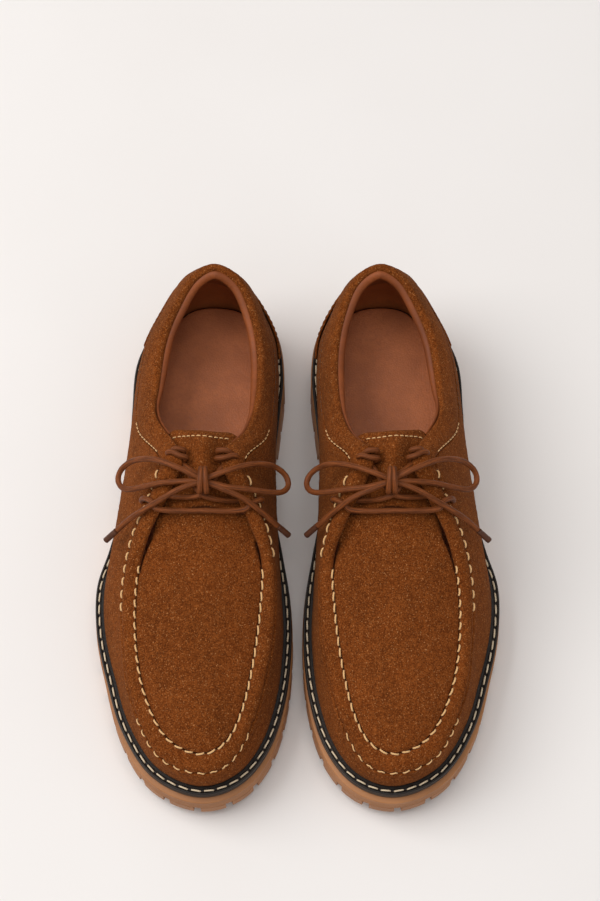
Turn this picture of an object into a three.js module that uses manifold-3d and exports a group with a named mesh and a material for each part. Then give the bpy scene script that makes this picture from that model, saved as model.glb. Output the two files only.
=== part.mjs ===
// A pair of moccasin-toe lace-up shoes with welted lug soles, in millimetres, +Z up, toes towards -Y.
// Every piece is built once for the left shoe, in a frame whose +X points to the outer side of the foot,
// and the right shoe is its mirror image. The pair stands on Z = 0, with X = 0 midway between the shoes.
import * as THREE from "three";
import { mergeVertices } from "three/addons/utils/BufferGeometryUtils.js";
import Module from "manifold-3d";

const wasm = await Module();
wasm.setup();

// ---- Overall sizes ------------------------------------------------------------------------------
const SHOE_LENGTH = 312; // outsole, toe to heel
const BALL_WIDTH = 112; // outsole, across the ball of the foot
const UPPER_HEIGHT = 67.6; // top of the heel collar above the feather line at the ball
const SHOE_SPACING = 119.6; // middle of one shoe to the middle of the other

// ---- Bottom: thicknesses at the ball, from the ground up ----------------------------------------
const TREAD = 20.2; // gum outsole
const MIDSOLE = 3.2;
const WELT = 2.7;
const HEEL_LIFT = 13; // gum block under the heel end of the outsole
const TOE_SPRING = 8.5; // how far the toe of the outsole is off the ground
const WAIST_RISE = 10; // how far the arch of the outsole is off the ground
const FILLER = 2.4; // cork between midsole and insole board
const INSOLE_BOARD = 2;
const SOCK_LINER = 2.4;
const SHANK = { length: 96, width: 12, thickness: 1.1, y: 52 };

// ---- Edges of the bottom pieces, measured outwards from the feather line ------------------------
const WELT_EDGE = 4.6;
const WELT_INNER = -3.4;
const MIDSOLE_EDGE = 4.7;
const OUTSOLE_EDGE_HEEL = 6.4;
const OUTSOLE_EDGE_SIDE = 4.9;
const OUTSOLE_EDGE_TOE = 7.9;

// ---- Tread pattern ------------------------------------------------------------------------------
const GROOVE = { width: 4, length: 13, depth: 7, pitch: 18 };
const CHANNEL = { inset: 14, width: 4, depth: 5 };

// ---- Upper --------------------------------------------------------------------------------------
const LEATHER = 1.8; // suede of the upper
const STIFFENER = 0.9; // toe puff and heel counter
const LINING = 1.1;
const BAND_RISE = 1.7; // how far the moccasin roll stands above the vamp
const COLLAR_PAD = 4.6; // padded collar, suede and foam together
const COLLAR_RISE = 0.9;
const FOXING = 1.4; // overlay round the heel
const TONGUE = 2.4;
const GAP = 0.3; // clearance between neighbouring pieces
const TONGUE_GAP = 0.7; // clearance at the tongue's hinge line

// ---- Lace ---------------------------------------------------------------------------------------
const LACE = 3.2; // diameter of the round lace
const LACE_CLEARANCE = 0.35;
const AGLET = { length: 11, diameter: 3.5 };

// ---- The last -----------------------------------------------------------------------------------
// Twenty-six stations run round the shoe from the back of the heel along the outer side to the toe and
// back along the inner side. Each has four points up the side of the shoe: the feather line on the sole,
// the widest part of the wall, the seam (moccasin seam in front, collar seam behind) and the top edge
// (apron edge, facing edge or topline). Heights are above the feather line at the ball, for a shoe of the
// lengths named here.
const DRAWN = { length: 312, width: 112, height: 67.6 };
const STATIONS = [
  // back of the heel
  { feather: [-10, 149.5, 9.5], wall: [-11, 152.5, 25], seam: [-12, 151, 43], top: [-13.2, 143.4, 68.4] },
  // outer side
  { feather: [7.5, 145.5, 9.4], wall: [7.5, 148.5, 24.5], seam: [6.5, 147.2, 42.5], top: [1, 137.2, 65.3] },
  { feather: [21.5, 130, 9], wall: [21.7, 130.8, 23], seam: [18.3, 129.8, 39.5], top: [11.6, 120.6, 59] },
  { feather: [31.5, 107.5, 8.3], wall: [32, 107.5, 21.5], seam: [28, 107, 37], top: [18.8, 101, 53.6] },
  { feather: [33.4, 78, 6.7], wall: [35.8, 77, 21], seam: [32.4, 76, 35.5], top: [21.6, 75, 52] },
  { feather: [34.5, 48, 5], wall: [37.9, 48.5, 21.5], seam: [31, 48.5, 43.5], top: [20.8, 51, 58.3] },
  { feather: [38.5, 16, 2.9], wall: [40.6, 19.5, 23], seam: [17, 21.5, 65.3], top: [4.3, 20.8, 71.8] },
  { feather: [44.5, -9, 1.5], wall: [43.6, -5, 22], seam: [22, 3, 57.5], top: [11, 2.5, 64.5] },
  { feather: [50.6, -31, 0.5], wall: [46.2, -27, 18.5], seam: [32.3, -18, 43.3], top: [22.8, -17, 51] },
  { feather: [49.6, -57, 0], wall: [45.8, -52, 14], seam: [37.4, -43, 30.8], top: [29, -38, 38] },
  { feather: [43.2, -84, 0.9], wall: [41.5, -80, 11.3], seam: [36.8, -72, 25], top: [30, -67, 30] },
  { feather: [34, -112.5, 2.1], wall: [33.4, -109.5, 11.3], seam: [31.7, -102.8, 22.5], top: [25.3, -98, 27] },
  { feather: [18, -137, 4.2], wall: [17.8, -136.5, 12.3], seam: [17, -133.8, 21], top: [13, -124.8, 26] },
  // toe
  { feather: [-5.2, -147.9, 5.5], wall: [-5, -148, 13], seam: [-5, -144.5, 21], top: [-4.8, -135.4, 26] },
  // inner side
  { feather: [-26, -141.5, 4.7], wall: [-25.5, -141.7, 12.5], seam: [-23, -138.8, 21], top: [-19.5, -130.3, 26] },
  { feather: [-40.6, -122, 2.8], wall: [-39.5, -120.5, 11.5], seam: [-35.5, -116.5, 22], top: [-29, -112.5, 26] },
  { feather: [-48.8, -94, 1.3], wall: [-47.6, -92, 11.5], seam: [-43.2, -89, 24.2], top: [-35.5, -83.7, 28] },
  { feather: [-51.8, -63, 0], wall: [-50.9, -62, 13], seam: [-47.2, -59, 28.5], top: [-39.3, -53.3, 33.5] },
  { feather: [-50.8, -37, 0.3], wall: [-50.4, -35.5, 16.5], seam: [-46.8, -32, 37.5], top: [-39.9, -29, 41.8] },
  { feather: [-46.8, -12, 1.5], wall: [-48.9, -10.5, 21.5], seam: [-41.3, -10, 51], top: [-32.5, -10.5, 55.3] },
  { feather: [-42, 17, 3], wall: [-47.5, 17, 24], seam: [-31, 18.5, 65], top: [-17.8, 19.8, 71.8] },
  { feather: [-41.5, 46, 4.9], wall: [-47.2, 45, 23], seam: [-42.5, 42.5, 49], top: [-31.8, 41, 62.3] },
  { feather: [-44.4, 76, 6.6], wall: [-48.2, 73, 20.5], seam: [-45.8, 71, 36.5], top: [-38.8, 66, 54.5] },
  { feather: [-46.5, 103, 8.1], wall: [-48.8, 99, 20], seam: [-46.2, 95.5, 34.8], top: [-39.8, 92.5, 51.8] },
  { feather: [-42.5, 128, 8.9], wall: [-44.5, 124, 22], seam: [-42.3, 119.5, 36.8], top: [-36, 116, 55.8] },
  { feather: [-29.5, 145, 9.4], wall: [-30.6, 144.8, 24], seam: [-31, 142, 40.3], top: [-27.6, 135.6, 62.6] },
];
const HEEL = 0;
const FLAP_OUTER = 5.75; // the facings end here and the collar begins
const TOE = 13;
const FLAP_INNER = 20.25;
const ROUND = STATIONS.length;
const SEAM = 2 / 3; // height of the seam line up the wall, where the feather is 0 and the top edge is 1

const STACK = TREAD + MIDSOLE + WELT + 3 * GAP; // feather line at the ball above the ground
const scale = new THREE.Vector3(
  BALL_WIDTH / DRAWN.width,
  SHOE_LENGTH / DRAWN.length,
  UPPER_HEIGHT / DRAWN.height,
);
const place = ([x, y, z]) => new THREE.Vector3(x * scale.x, y * scale.y, z * scale.z + STACK);
const guide = (name) =>
  new THREE.CatmullRomCurve3(STATIONS.map((s) => place(s[name])), true, "catmullrom", 0.5);
const GUIDES = ["feather", "wall", "seam", "top"].map(guide);

// A point on the outside of the upper at station t: v runs from 0 at the feather line to 1 at the top edge.
function skin(t, v) {
  const u = (((t / ROUND) % 1) + 1) % 1;
  const column = new THREE.CatmullRomCurve3(GUIDES.map((g) => g.getPoint(u)), false, "catmullrom", 0.5);
  if (v <= 1) return column.getPoint(v);
  const end = column.getPoint(1);
  return end.clone().add(end.clone().sub(column.getPoint(0.99)).multiplyScalar((v - 1) * 100));
}

const STEP = 0.01;
// The outward normal of the upper.
function facing(t, v) {
  const low = Math.min(Math.max(v, STEP), 1 - STEP);
  const along = skin(t + STEP, low).sub(skin(t - STEP, low));
  const up = skin(t, low + STEP).sub(skin(t, low - STEP));
  const normal = along.cross(up).normalize().negate();
  normal.z *= THREE.MathUtils.smoothstep(v, 0, 0.12); // upright where it meets the sole
  return normal.normalize();
}
const raised = (t, v, height) => skin(t, v).addScaledVector(facing(t, v), height);

// ---- Solids from grids of points ----------------------------------------------------------------
// Builds a closed solid from two grids of points, outer[i][j] and inner[i][j], joined round their edges.
function gridSolid(outer, inner, ring = false) {
  const rows = outer.length;
  const columns = outer[0].length;
  const points = [...outer.flat(), ...inner.flat()];
  const at = (side, i, j) => side * rows * columns + (i % rows) * columns + j;
  const triangles = [];
  const quad = (a, b, c, d) => triangles.push(a, b, c, a, c, d);
  const last = ring ? rows : rows - 1;
  for (let i = 0; i < last; i++) {
    for (let j = 0; j < columns - 1; j++) {
      quad(at(0, i, j), at(0, i, j + 1), at(0, i + 1, j + 1), at(0, i + 1, j));
      quad(at(1, i, j), at(1, i + 1, j), at(1, i + 1, j + 1), at(1, i, j + 1));
    }
    quad(at(0, i, 0), at(0, i + 1, 0), at(1, i + 1, 0), at(1, i, 0));
    const end = columns - 1;
    quad(at(0, i, end), at(1, i, end), at(1, i + 1, end), at(0, i + 1, end));
  }
  if (!ring)
    for (let j = 0; j < columns - 1; j++) {
      quad(at(0, 0, j), at(1, 0, j), at(1, 0, j + 1), at(0, 0, j + 1));
      quad(at(0, last, j), at(0, last, j + 1), at(1, last, j + 1), at(1, last, j));
    }
  return solidOf(points, triangles);
}

function solidOf(points, triangles) {
  const vertProperties = new Float32Array(points.flatMap((p) => [p.x, p.y, p.z]));
  const geometry = new THREE.BufferGeometry()
    .setAttribute("position", new THREE.BufferAttribute(vertProperties, 3))
    .setIndex(triangles);
  return solidFrom(geometry);
}

function solidFrom(geometry) {
  const bare = geometry.clone();
  for (const name of ["normal", "uv"]) bare.deleteAttribute(name);
  const merged = mergeVertices(bare, 1e-4);
  const index = [];
  for (let i = 0; i < merged.index.count; i += 3) {
    const [a, b, c] = [0, 1, 2].map((k) => merged.index.getX(i + k));
    if (a !== b && b !== c && a !== c) index.push(a, b, c);
  }
  const solid = (triVerts) =>
    new wasm.Manifold(
      new wasm.Mesh({ numProp: 3, vertProperties: merged.attributes.position.array, triVerts }),
    );
  const made = solid(new Uint32Array(index));
  return made.volume() > 0 ? made : solid(new Uint32Array(index.reverse()));
}

function geometryOf(solid) {
  const { vertProperties, triVerts, numProp, numVert } = solid.getMesh();
  const positions = new Float32Array(numVert * 3);
  for (let i = 0; i < numVert; i++)
    positions.set(vertProperties.subarray(i * numProp, i * numProp + 3), i * 3);
  const geometry = new THREE.BufferGeometry()
    .setAttribute("position", new THREE.BufferAttribute(positions, 3))
    .setIndex(new THREE.BufferAttribute(triVerts, 1));
  geometry.computeVertexNormals();
  return geometry;
}

const spread = (from, to, count) =>
  Array.from({ length: count + 1 }, (_, i) => from + ((to - from) * i) / count);

const T_STEP = 0.5;
const V_STEP = 1 / 12;
// Values between two ends, kept to one grid for all pieces so that their layers stay parallel.
function shared(from, to, step) {
  const inside = [];
  for (let k = Math.ceil(from / step + 0.1); k * step < to - 0.1 * step; k++) inside.push(k * step);
  return [from, ...inside, to];
}

// A piece of the upper between stations t0 and t1 and heights v0 and v1. outside and inside give how far
// its two faces stand off the skin, as numbers or as functions of t and the share of the way up the piece.
function panel({ t0, t1, v0, v1, outside, inside, rows = 2 }) {
  const value = (f, ...args) => (typeof f === "function" ? f(...args) : f);
  const ring = Math.abs(t1 - t0 - ROUND) < 1e-6;
  const ts = shared(t0, t1, T_STEP);
  if (ring) ts.pop();
  const heights = (t) =>
    typeof v1 === "function" ? spread(v0, v1(t), rows) : shared(v0, v1, rows * V_STEP);
  const share = (v, all) => (v - v0) / (all.at(-1) - v0);
  const face = (offset) =>
    ts.map((t) => heights(t).map((v, _, all) => raised(t, v, value(offset, t, share(v, all)))));
  return gridSolid(face(outside), face(inside), ring);
}

// ---- Bottom pieces ------------------------------------------------------------------------------
const ROWS = 2; // samples of an outline for each station

// A point of the outline at station t, moved out from the feather line.
function edge(t, out) {
  const u = (((t / ROUND) % 1) + 1) % 1;
  const p = GUIDES[0].getPoint(u);
  const tangent = GUIDES[0].getTangent(u);
  const normal = new THREE.Vector3(-tangent.y, tangent.x, 0).normalize();
  return p.clone().addScaledVector(normal, out);
}

// A slab whose outline is the feather line moved out, between heights top(p) and bottom(p) of each point.
function slab(out, top, bottom, from = 0, to = TOE) {
  const rows = spread(from, to, Math.round((to - from) * ROWS));
  const value = (f, t) => (typeof f === "function" ? f(t) : f);
  const face = (height) =>
    rows.map((t) =>
      [t, ROUND - t].map((station) => {
        const p = edge(station, value(out, station));
        p.z = height(p);
        return p;
      }),
    );
  return gridSolid(face(top), face(bottom));
}

const featherZ = (p) => p.z;
const above = (height) => (p) => featherZ(p) + height;
const level = (z) => () => z;
function outsoleEdge(t) {
  const lengthwise = Math.cos((2 * Math.PI * t) / ROUND); // 1 at the heel, 0 at the sides, -1 at the toe
  const end = lengthwise > 0 ? OUTSOLE_EDGE_HEEL : OUTSOLE_EDGE_TOE;
  return OUTSOLE_EDGE_SIDE + (end - OUTSOLE_EDGE_SIDE) * lengthwise ** 4;
}

const WELT_TOP = -GAP;
const MIDSOLE_TOP = WELT_TOP - WELT - GAP;
const TREAD_TOP = MIDSOLE_TOP - MIDSOLE - GAP;
const BREAST = 60 * scale.y; // where the heel block begins
const TREAD_FRONT = -74 * scale.y; // where the toe starts to lift off the ground
const TREAD_BACK = 14 * scale.y; // where the arch starts
const TOE_TIP = -156 * scale.y;

// The underside of the outsole.
function ground(p) {
  if (p.y < TREAD_FRONT) return TOE_SPRING * ((TREAD_FRONT - p.y) / (TREAD_FRONT - TOE_TIP)) ** 2;
  if (p.y < TREAD_BACK) return 0;
  const arch = THREE.MathUtils.smoothstep(p.y, TREAD_BACK, TREAD_BACK + 20) * WAIST_RISE;
  const back = THREE.MathUtils.smoothstep(p.y, BREAST - 40, BREAST - 14);
  return THREE.MathUtils.lerp(arch, HEEL_LIFT + GAP, back);
}

// Blocks that cut the grooves between the lugs, evenly spaced along the outline between two stations.
function grooves(from, to, bottom, depth) {
  const line = spread(from, to, 200).map((t) => edge(t, outsoleEdge(t)));
  const length = line.slice(1).reduce((sum, p, i) => sum + p.distanceTo(line[i]), 0);
  const count = Math.round(length / GROOVE.pitch);
  return spread(from, to, count).map((t) => {
    const p = edge(t, outsoleEdge(t));
    const inward = edge(t, 0).sub(p).setZ(0).normalize();
    const box = new THREE.BoxGeometry(2 * GROOVE.length, GROOVE.width, 2 * depth);
    box.rotateZ(Math.atan2(inward.y, inward.x));
    box.translate(p.x, p.y, bottom(p));
    return solidFrom(box);
  });
}
const cut = (solid, tools) => tools.reduce((left, tool) => left.subtract(tool), solid);

function channel(from, to) {
  const inset = (extra) => (t) => outsoleEdge(t) - CHANNEL.inset - extra;
  const low = () => -1;
  const roof = (p) => ground(p) + CHANNEL.depth;
  const outer = slab(inset(0), roof, low, from, to);
  const inner = slab(inset(CHANNEL.width), (p) => roof(p) + 1, () => -2, from + 0.45, to - 0.45);
  return outer.subtract(inner);
}

const FOREFOOT_FIRST = 6.6;
function outsole() {
  const body = slab(outsoleEdge, above(TREAD_TOP), ground);
  const sides = grooves(FOREFOOT_FIRST, ROUND - FOREFOOT_FIRST, ground, GROOVE.depth);
  const bars = [-36, -72, -106].map((y) => {
    const bar = new THREE.BoxGeometry(62 * scale.x, GROOVE.width, 2 * CHANNEL.depth);
    const middle = new THREE.Vector3(-2, y * scale.y, 0);
    bar.translate(middle.x, middle.y, ground(middle));
    return solidFrom(bar);
  });
  return cut(body, [...sides, channel(7, TOE), ...bars]);
}

function heelLift() {
  const block = slab(outsoleEdge, level(HEEL_LIFT), level(0));
  const front = new THREE.BoxGeometry(200, 300, 60);
  front.translate(0, BREAST - 150, 0);
  const sides = grooves(-3.4, 3.4, level(0), GROOVE.depth);
  const bar = new THREE.BoxGeometry(44 * scale.x, GROOVE.width, 2 * CHANNEL.depth);
  bar.translate(-7 * scale.x, 100 * scale.y, 0);
  return cut(block, [solidFrom(front), ...sides, solidFrom(bar)]);
}

const midsole = () => slab(MIDSOLE_EDGE, above(MIDSOLE_TOP), above(MIDSOLE_TOP - MIDSOLE));

function welt() {
  const ts = spread(0, ROUND, ROUND * ROWS).slice(0, -1);
  const face = (height) =>
    ts.map((t) => [WELT_EDGE, WELT_INNER].map((out) => edge(t, out).add(new THREE.Vector3(0, 0, height))));
  return gridSolid(face(WELT_TOP), face(WELT_TOP - WELT), true);
}

const FILLER_EDGE = WELT_INNER - GAP;
const SHANK_Z = WELT_TOP - WELT; // underside of shank and filler, against the feather line
function shankBox(clearance) {
  const box = new THREE.BoxGeometry(SHANK.width + 2 * clearance, SHANK.length + 2 * clearance, 1, 1, 8, 1);
  const position = box.attributes.position;
  for (let i = 0; i < position.count; i++) {
    const y = position.getY(i) + SHANK.y * scale.y;
    const side = position.getZ(i) > 0 ? SHANK.thickness + 6 * clearance : -4 * clearance;
    position.setXYZ(i, position.getX(i) - 4 * scale.x, y, footline(y) + SHANK_Z + side);
  }
  return solidFrom(box);
}

// Height of the feather line at a place along the shoe.
function footline(y) {
  const near = spread(0, TOE, TOE * 8).map((t) => edge(t, 0));
  const next = Math.max(1, near.findIndex((p) => p.y <= y));
  const [a, b] = [near[next - 1], near[next]];
  return THREE.MathUtils.lerp(a.z, b.z, (a.y - y) / (a.y - b.y));
}

const shank = () => shankBox(0);
const filler = () =>
  slab(FILLER_EDGE, above(SHANK_Z + FILLER), above(SHANK_Z)).subtract(shankBox(GAP));

const INSOLE_EDGE = -(LEATHER + STIFFENER + LINING + 3 * GAP) - 0.6;
const SOCK_EDGE = INSOLE_EDGE - 0.9;
const BOARD_TOP = INSOLE_BOARD;
const boardOf = () => slab(INSOLE_EDGE, above(BOARD_TOP), above(0));
const sockLiner = () => slab(SOCK_EDGE, above(BOARD_TOP + GAP + SOCK_LINER), above(BOARD_TOP + GAP));

// ---- Upper pieces -------------------------------------------------------------------------------
const SIDE_SEAM_OUTER = 5.3;
const SIDE_SEAM_INNER = 21.1;
const BUTT_T = 0.012; // half of the gap between two pieces that meet end to end, in stations
const BUTT_V = 0.004;
const bulge = (height) => (t, w) => height * Math.sin(Math.PI * w);

const wallPiece = (t0, t1) =>
  panel({ t0: t0 + BUTT_T, t1: t1 - BUTT_T, v0: 0, v1: SEAM - BUTT_V, outside: 0, inside: -LEATHER });
const vamp = () => wallPiece(SIDE_SEAM_OUTER, SIDE_SEAM_INNER);
const quarterOuter = () => wallPiece(HEEL, SIDE_SEAM_OUTER);
const quarterInner = () => wallPiece(SIDE_SEAM_INNER, ROUND);

const band = () =>
  panel({
    t0: FLAP_OUTER + BUTT_T, t1: FLAP_INNER - BUTT_T, v0: SEAM + BUTT_V, v1: 1,
    outside: bulge(BAND_RISE), inside: -LEATHER, rows: 1,
  });
const collar = () =>
  panel({
    t0: FLAP_INNER + BUTT_T, t1: ROUND + FLAP_OUTER - BUTT_T, v0: SEAM + BUTT_V, v1: 1,
    outside: bulge(COLLAR_RISE),
    inside: (t, w) => -LEATHER - (COLLAR_PAD - LEATHER) * THREE.MathUtils.smoothstep(w, 0, 0.4) * swell(t),
    rows: 1,
  });
// How much padding there is round the collar: none at the flaps, full behind them.
const swell = (t) =>
  THREE.MathUtils.smoothstep(Math.min(t - FLAP_INNER, ROUND + FLAP_OUTER - t), 0.3, 2.4);

const FOXING_END = 2.7;
const foxing = () =>
  panel({
    t0: -FOXING_END, t1: FOXING_END, v0: 0.02,
    v1: (t) => 0.6 - 0.34 * (t / FOXING_END) ** 2,
    outside: 2 * GAP + FOXING, inside: 2 * GAP,
  });

const STIFF_OUT = -(LEATHER + GAP + 0.1);
const STIFF_IN = STIFF_OUT - STIFFENER;
const LINING_OUT = STIFF_IN - GAP;
const LINING_IN = LINING_OUT - LINING;
const LINING_TOP = 0.5;
const toePuff = () =>
  panel({ t0: TOE - 2, t1: TOE + 2, v0: 0.03, v1: 0.5, outside: STIFF_OUT, inside: STIFF_IN });
const heelCounter = () =>
  panel({ t0: -3, t1: 3, v0: 0.03, v1: 0.5, outside: STIFF_OUT, inside: STIFF_IN });
const vampLining = () =>
  panel({
    t0: SIDE_SEAM_OUTER + BUTT_T, t1: SIDE_SEAM_INNER - BUTT_T, v0: 0.02,
    v1: LINING_TOP, outside: LINING_OUT, inside: LINING_IN,
  });
const quarterLining = () =>
  panel({
    t0: SIDE_SEAM_INNER + BUTT_T, t1: ROUND + SIDE_SEAM_OUTER - BUTT_T, v0: 0.02, v1: SEAM - 0.05,
    outside: LINING_OUT, inside: LINING_IN,
  });
const collarDepth = (t, w) => -(LEATHER + (COLLAR_PAD - LEATHER) * swell(t)) - GAP;
const collarLining = () =>
  panel({
    t0: FLAP_INNER + 0.5, t1: ROUND + FLAP_OUTER - 0.5, v0: SEAM - 0.03, v1: 0.985,
    outside: (t, w) => Math.min(collarDepth(t, w), LINING_OUT),
    inside: (t, w) => Math.min(collarDepth(t, w), LINING_OUT) - LINING,
    rows: 1,
  });

// ---- Apron and tongue ---------------------------------------------------------------------------
// The apron is the top panel inside the moccasin seam, and the tongue carries it on under the laces.
const LACE_DEPTH = LEATHER + LACE_CLEARANCE + LACE / 2; // middle of a lace that runs under the facings
const TONGUE_DROP = LACE_DEPTH + LACE / 2 + 2 * LACE_CLEARANCE; // outside of the tongue under the facings
const APRON_GAP = 0.45;
const CROWN = 0.13; // rise of the apron's middle, as a share of its width
const ACROSS = 8;

// Rows of the apron from the throat to the toe: the stations on the outer and inner side that each row joins.
const APRON_ROWS = [
  [9, 17.63],
  [9.25, 17],
  [9.5, 16.5],
  [10, 16],
  [10.5, 15.5],
  [11, 15],
  [11.5, 14.5],
  [12, 14],
  [12.5, 13.5],
  [TOE, TOE],
];
// Rows from the throat to the tip of the tongue: stations on both sides, how far the row lies below the
// facings as a share of the full drop, how far it reaches under them (in v) and how high its middle stands.
const THROAT_ROWS = [
  { outer: 8.7, inner: 17.87, drop: 0.16, reach: -0.03, crown: 8.8 },
  { outer: 8.4, inner: 18.1, drop: 0.4, reach: -0.03, crown: 8.8 },
  { outer: 8.1, inner: 18.35, drop: 0.72, reach: 0, crown: 8.8 },
  { outer: 7.8, inner: 18.7, drop: 1, reach: 0.08, crown: 8.8 },
  { outer: 7.5, inner: 19.1, drop: 1, reach: 0.13, crown: 8.6 }, // the tongue starts here
  { outer: 7.15, inner: 19.35, drop: 1.06, reach: 0.1, crown: 8 },
  { outer: 6.6, inner: 19.6, drop: 1.06, reach: 0.12, crown: 6.5 },
  { outer: 6.05, inner: 19.95, drop: 1, reach: 0.15, crown: 5.5 },
  { outer: 5.75, inner: 20.25, drop: 0.95, reach: 0.14, crown: 8 },
  { outer: 5.4, inner: 20.65, drop: 0.8, reach: 0.14, crown: 8.5 },
];
const HINGE_ROW = 4;

// A point just inside the apron edge, drop below the outside of the upper.
function rim(t, drop) {
  const inward = skin(t, 1).sub(skin(t, 0.98)).normalize();
  return raised(t, 1, -drop).addScaledVector(inward, APRON_GAP);
}

function apronRow([outerT, innerT], drop) {
  const [outer, inner] = [rim(outerT, drop), rim(innerT, drop)];
  const crown = CROWN * outer.distanceTo(inner);
  return spread(0, 1, ACROSS).map((s) =>
    outer.clone().lerp(inner, s).add(new THREE.Vector3(0, 0, crown * (1 - (2 * s - 1) ** 2))),
  );
}

function throatRow(row, below, back = 0) {
  const depth = row.drop * TONGUE_DROP + below;
  const edges = [row.outer, row.inner].map((t) => raised(t, 1, -depth));
  const sides = [row.outer, row.inner].map((t) => raised(t, 1 - row.reach, -depth));
  const middle = edges[0].clone().lerp(edges[1], 0.5);
  middle.z += row.crown * scale.z;
  const line =
    row.reach > 0.05 ? [sides[0], edges[0], middle, edges[1], sides[1]] : [sides[0], middle, sides[1]];
  const curve = new THREE.CatmullRomCurve3(line, false, "centripetal");
  return curve.getSpacedPoints(ACROSS).map((p) => p.setY(p.y + back));
}

function apronPiece(depth, thickness) {
  const face = (drop) => [
    ...THROAT_ROWS.slice(0, HINGE_ROW + 1).reverse().map((row) => throatRow(row, drop)),
    ...APRON_ROWS.map((row) => apronRow(row, drop)),
  ];
  return gridSolid(face(depth), face(depth + thickness));
}
const apron = () => apronPiece(0, LEATHER);
const apronLining = () => apronPiece(LEATHER + GAP, LINING);

function tongue() {
  const face = (below) =>
    THROAT_ROWS.slice(HINGE_ROW).map((row, i) => throatRow(row, below, i === 0 ? TONGUE_GAP : 0));
  return gridSolid(face(0), face(TONGUE));
}

// ---- Laces --------------------------------------------------------------------------------------
// Eyelets by station and height: one pair in the facings and one pair just outside the moccasin seam.
const EYELETS = {
  topOuter: [5.95, 0.86],
  topInner: [20.06, 0.86],
  lowOuter: [7, 0.6],
  lowInner: [19.42, 0.6],
};
const OVER = BAND_RISE + LACE / 2 + LACE_CLEARANCE; // middle of a lace on top of the moccasin roll

const CORD_STEP = 5;
function cord(points, diameter = LACE) {
  const path = new THREE.CatmullRomCurve3(points, false, "centripetal");
  const round = new THREE.Shape().absarc(0, 0, diameter / 2, 0, 2 * Math.PI);
  const steps = Math.max(2, Math.round(path.getLength() / CORD_STEP));
  const geometry = new THREE.ExtrudeGeometry(round, { extrudePath: path, steps, curveSegments: 3 });
  return solidFrom(geometry);
}

const KNOT = place([-8.1, 5.3, 75]);
const CROSSING = place([-7, -0.5, 68]);
// The cross-over strand that starts under one low eyelet and comes up through the top eyelet opposite, then
// wraps over the edge of the facing and goes to the knot. toe is the sense in which stations run to the toe.
function crossStrand([t, v], [u, w], toe) {
  return [
    raised(t, v, 0),
    raised(t + 0.02 * toe, v + 0.02, -LACE_DEPTH),
    raised(t + 0.06 * toe, v + 0.2, -LACE_DEPTH),
    raised(t + 0.1 * toe, 0.99, -LACE_DEPTH),
    CROSSING,
    raised(u - 0.25 * toe, 1, -LACE_DEPTH),
    raised(u - 0.05 * toe, w + 0.03, -LACE_DEPTH),
    raised(u, w, -0.5),
    raised(u - 0.02 * toe, w + 0.02, OVER),
    raised(u - 0.12 * toe, 0.98, OVER - 0.5),
    raised(u - 0.25 * toe, 1.13, 0.8),
    KNOT,
  ];
}

const BAR = [
  raised(...EYELETS.lowOuter, -LACE_DEPTH),
  raised(...EYELETS.lowOuter, 0.9),
  raised(7.12, 0.68, OVER - 0.4),
  raised(7.25, 0.82, OVER),
  raised(7.4, 0.96, OVER - 0.4),
  place([-6.5, -8, 62.5]),
  raised(19.12, 0.96, OVER - 0.4),
  raised(19.22, 0.82, OVER),
  raised(19.32, 0.68, OVER - 0.4),
  raised(...EYELETS.lowInner, 0.9),
  raised(...EYELETS.lowInner, -LACE_DEPTH),
];
const LOOPS = [
  [
    [5, 11, 77.4],
    [17, 17.3, 74],
    [27, 20.8, 67.5],
    [34.3, 21.3, 59.8],
    [38.9, 18.4, 54.2],
    [39.7, 13.3, 52],
    [35.8, 9.2, 54],
    [28, 7.2, 60.3],
    [17, 6, 67.8],
    [5, 4.9, 73.2],
  ],
  [
    [-20, 9.3, 76.9],
    [-31, 14.8, 72.6],
    [-41.5, 18.7, 65.5],
    [-49, 19, 58.6],
    [-54, 15.6, 54.2],
    [-55, 10.4, 53.3],
    [-51.6, 5.7, 56],
    [-44.5, 3.3, 61.6],
    [-33, 2, 68.8],
    [-21, 1.6, 73.2],
  ],
];
const TAILS = [
  [[5, 0.5, 73], [16, -4, 67.5], [33, -8.6, 52.5], [40.6, -12.3, 44.5]],
  [[-20, 0, 73], [-29, -2.7, 69], [-38, -6.5, 61.2], [-48.5, -11, 48]],
];

const LACED = [
  BAR,
  crossStrand(EYELETS.lowOuter, EYELETS.topInner, 1),
  crossStrand(EYELETS.lowInner, EYELETS.topOuter, -1),
];
// The room the laced strands need in the leather they pass through.
const EYELET_ROOM = LACED.map((strand) => cord(strand, LACE + 2 * LACE_CLEARANCE));

function lace() {
  const strands = [
    ...LACED,
    ...LOOPS.map((loop) => [KNOT, ...loop.map(place), KNOT.clone().add(new THREE.Vector3(0, -1, -1))]),
    ...TAILS.map((tail) => [KNOT, ...tail.map(place)]),
  ];
  const knot = new THREE.SphereGeometry(1, 10, 8);
  knot.scale(3.8, 6.4, 4);
  knot.rotateX(0.4);
  knot.translate(KNOT.x, KNOT.y, KNOT.z);
  return strands.map((points) => cord(points)).reduce((all, one) => all.add(one), solidFrom(knot));
}

function aglet(tail) {
  const [before, end] = tail.slice(-2).map(place);
  const along = end.clone().sub(before).normalize();
  const start = end.clone().addScaledVector(along, GAP);
  return cord([start, start.clone().addScaledVector(along, AGLET.length)], AGLET.diameter);
}

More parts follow.
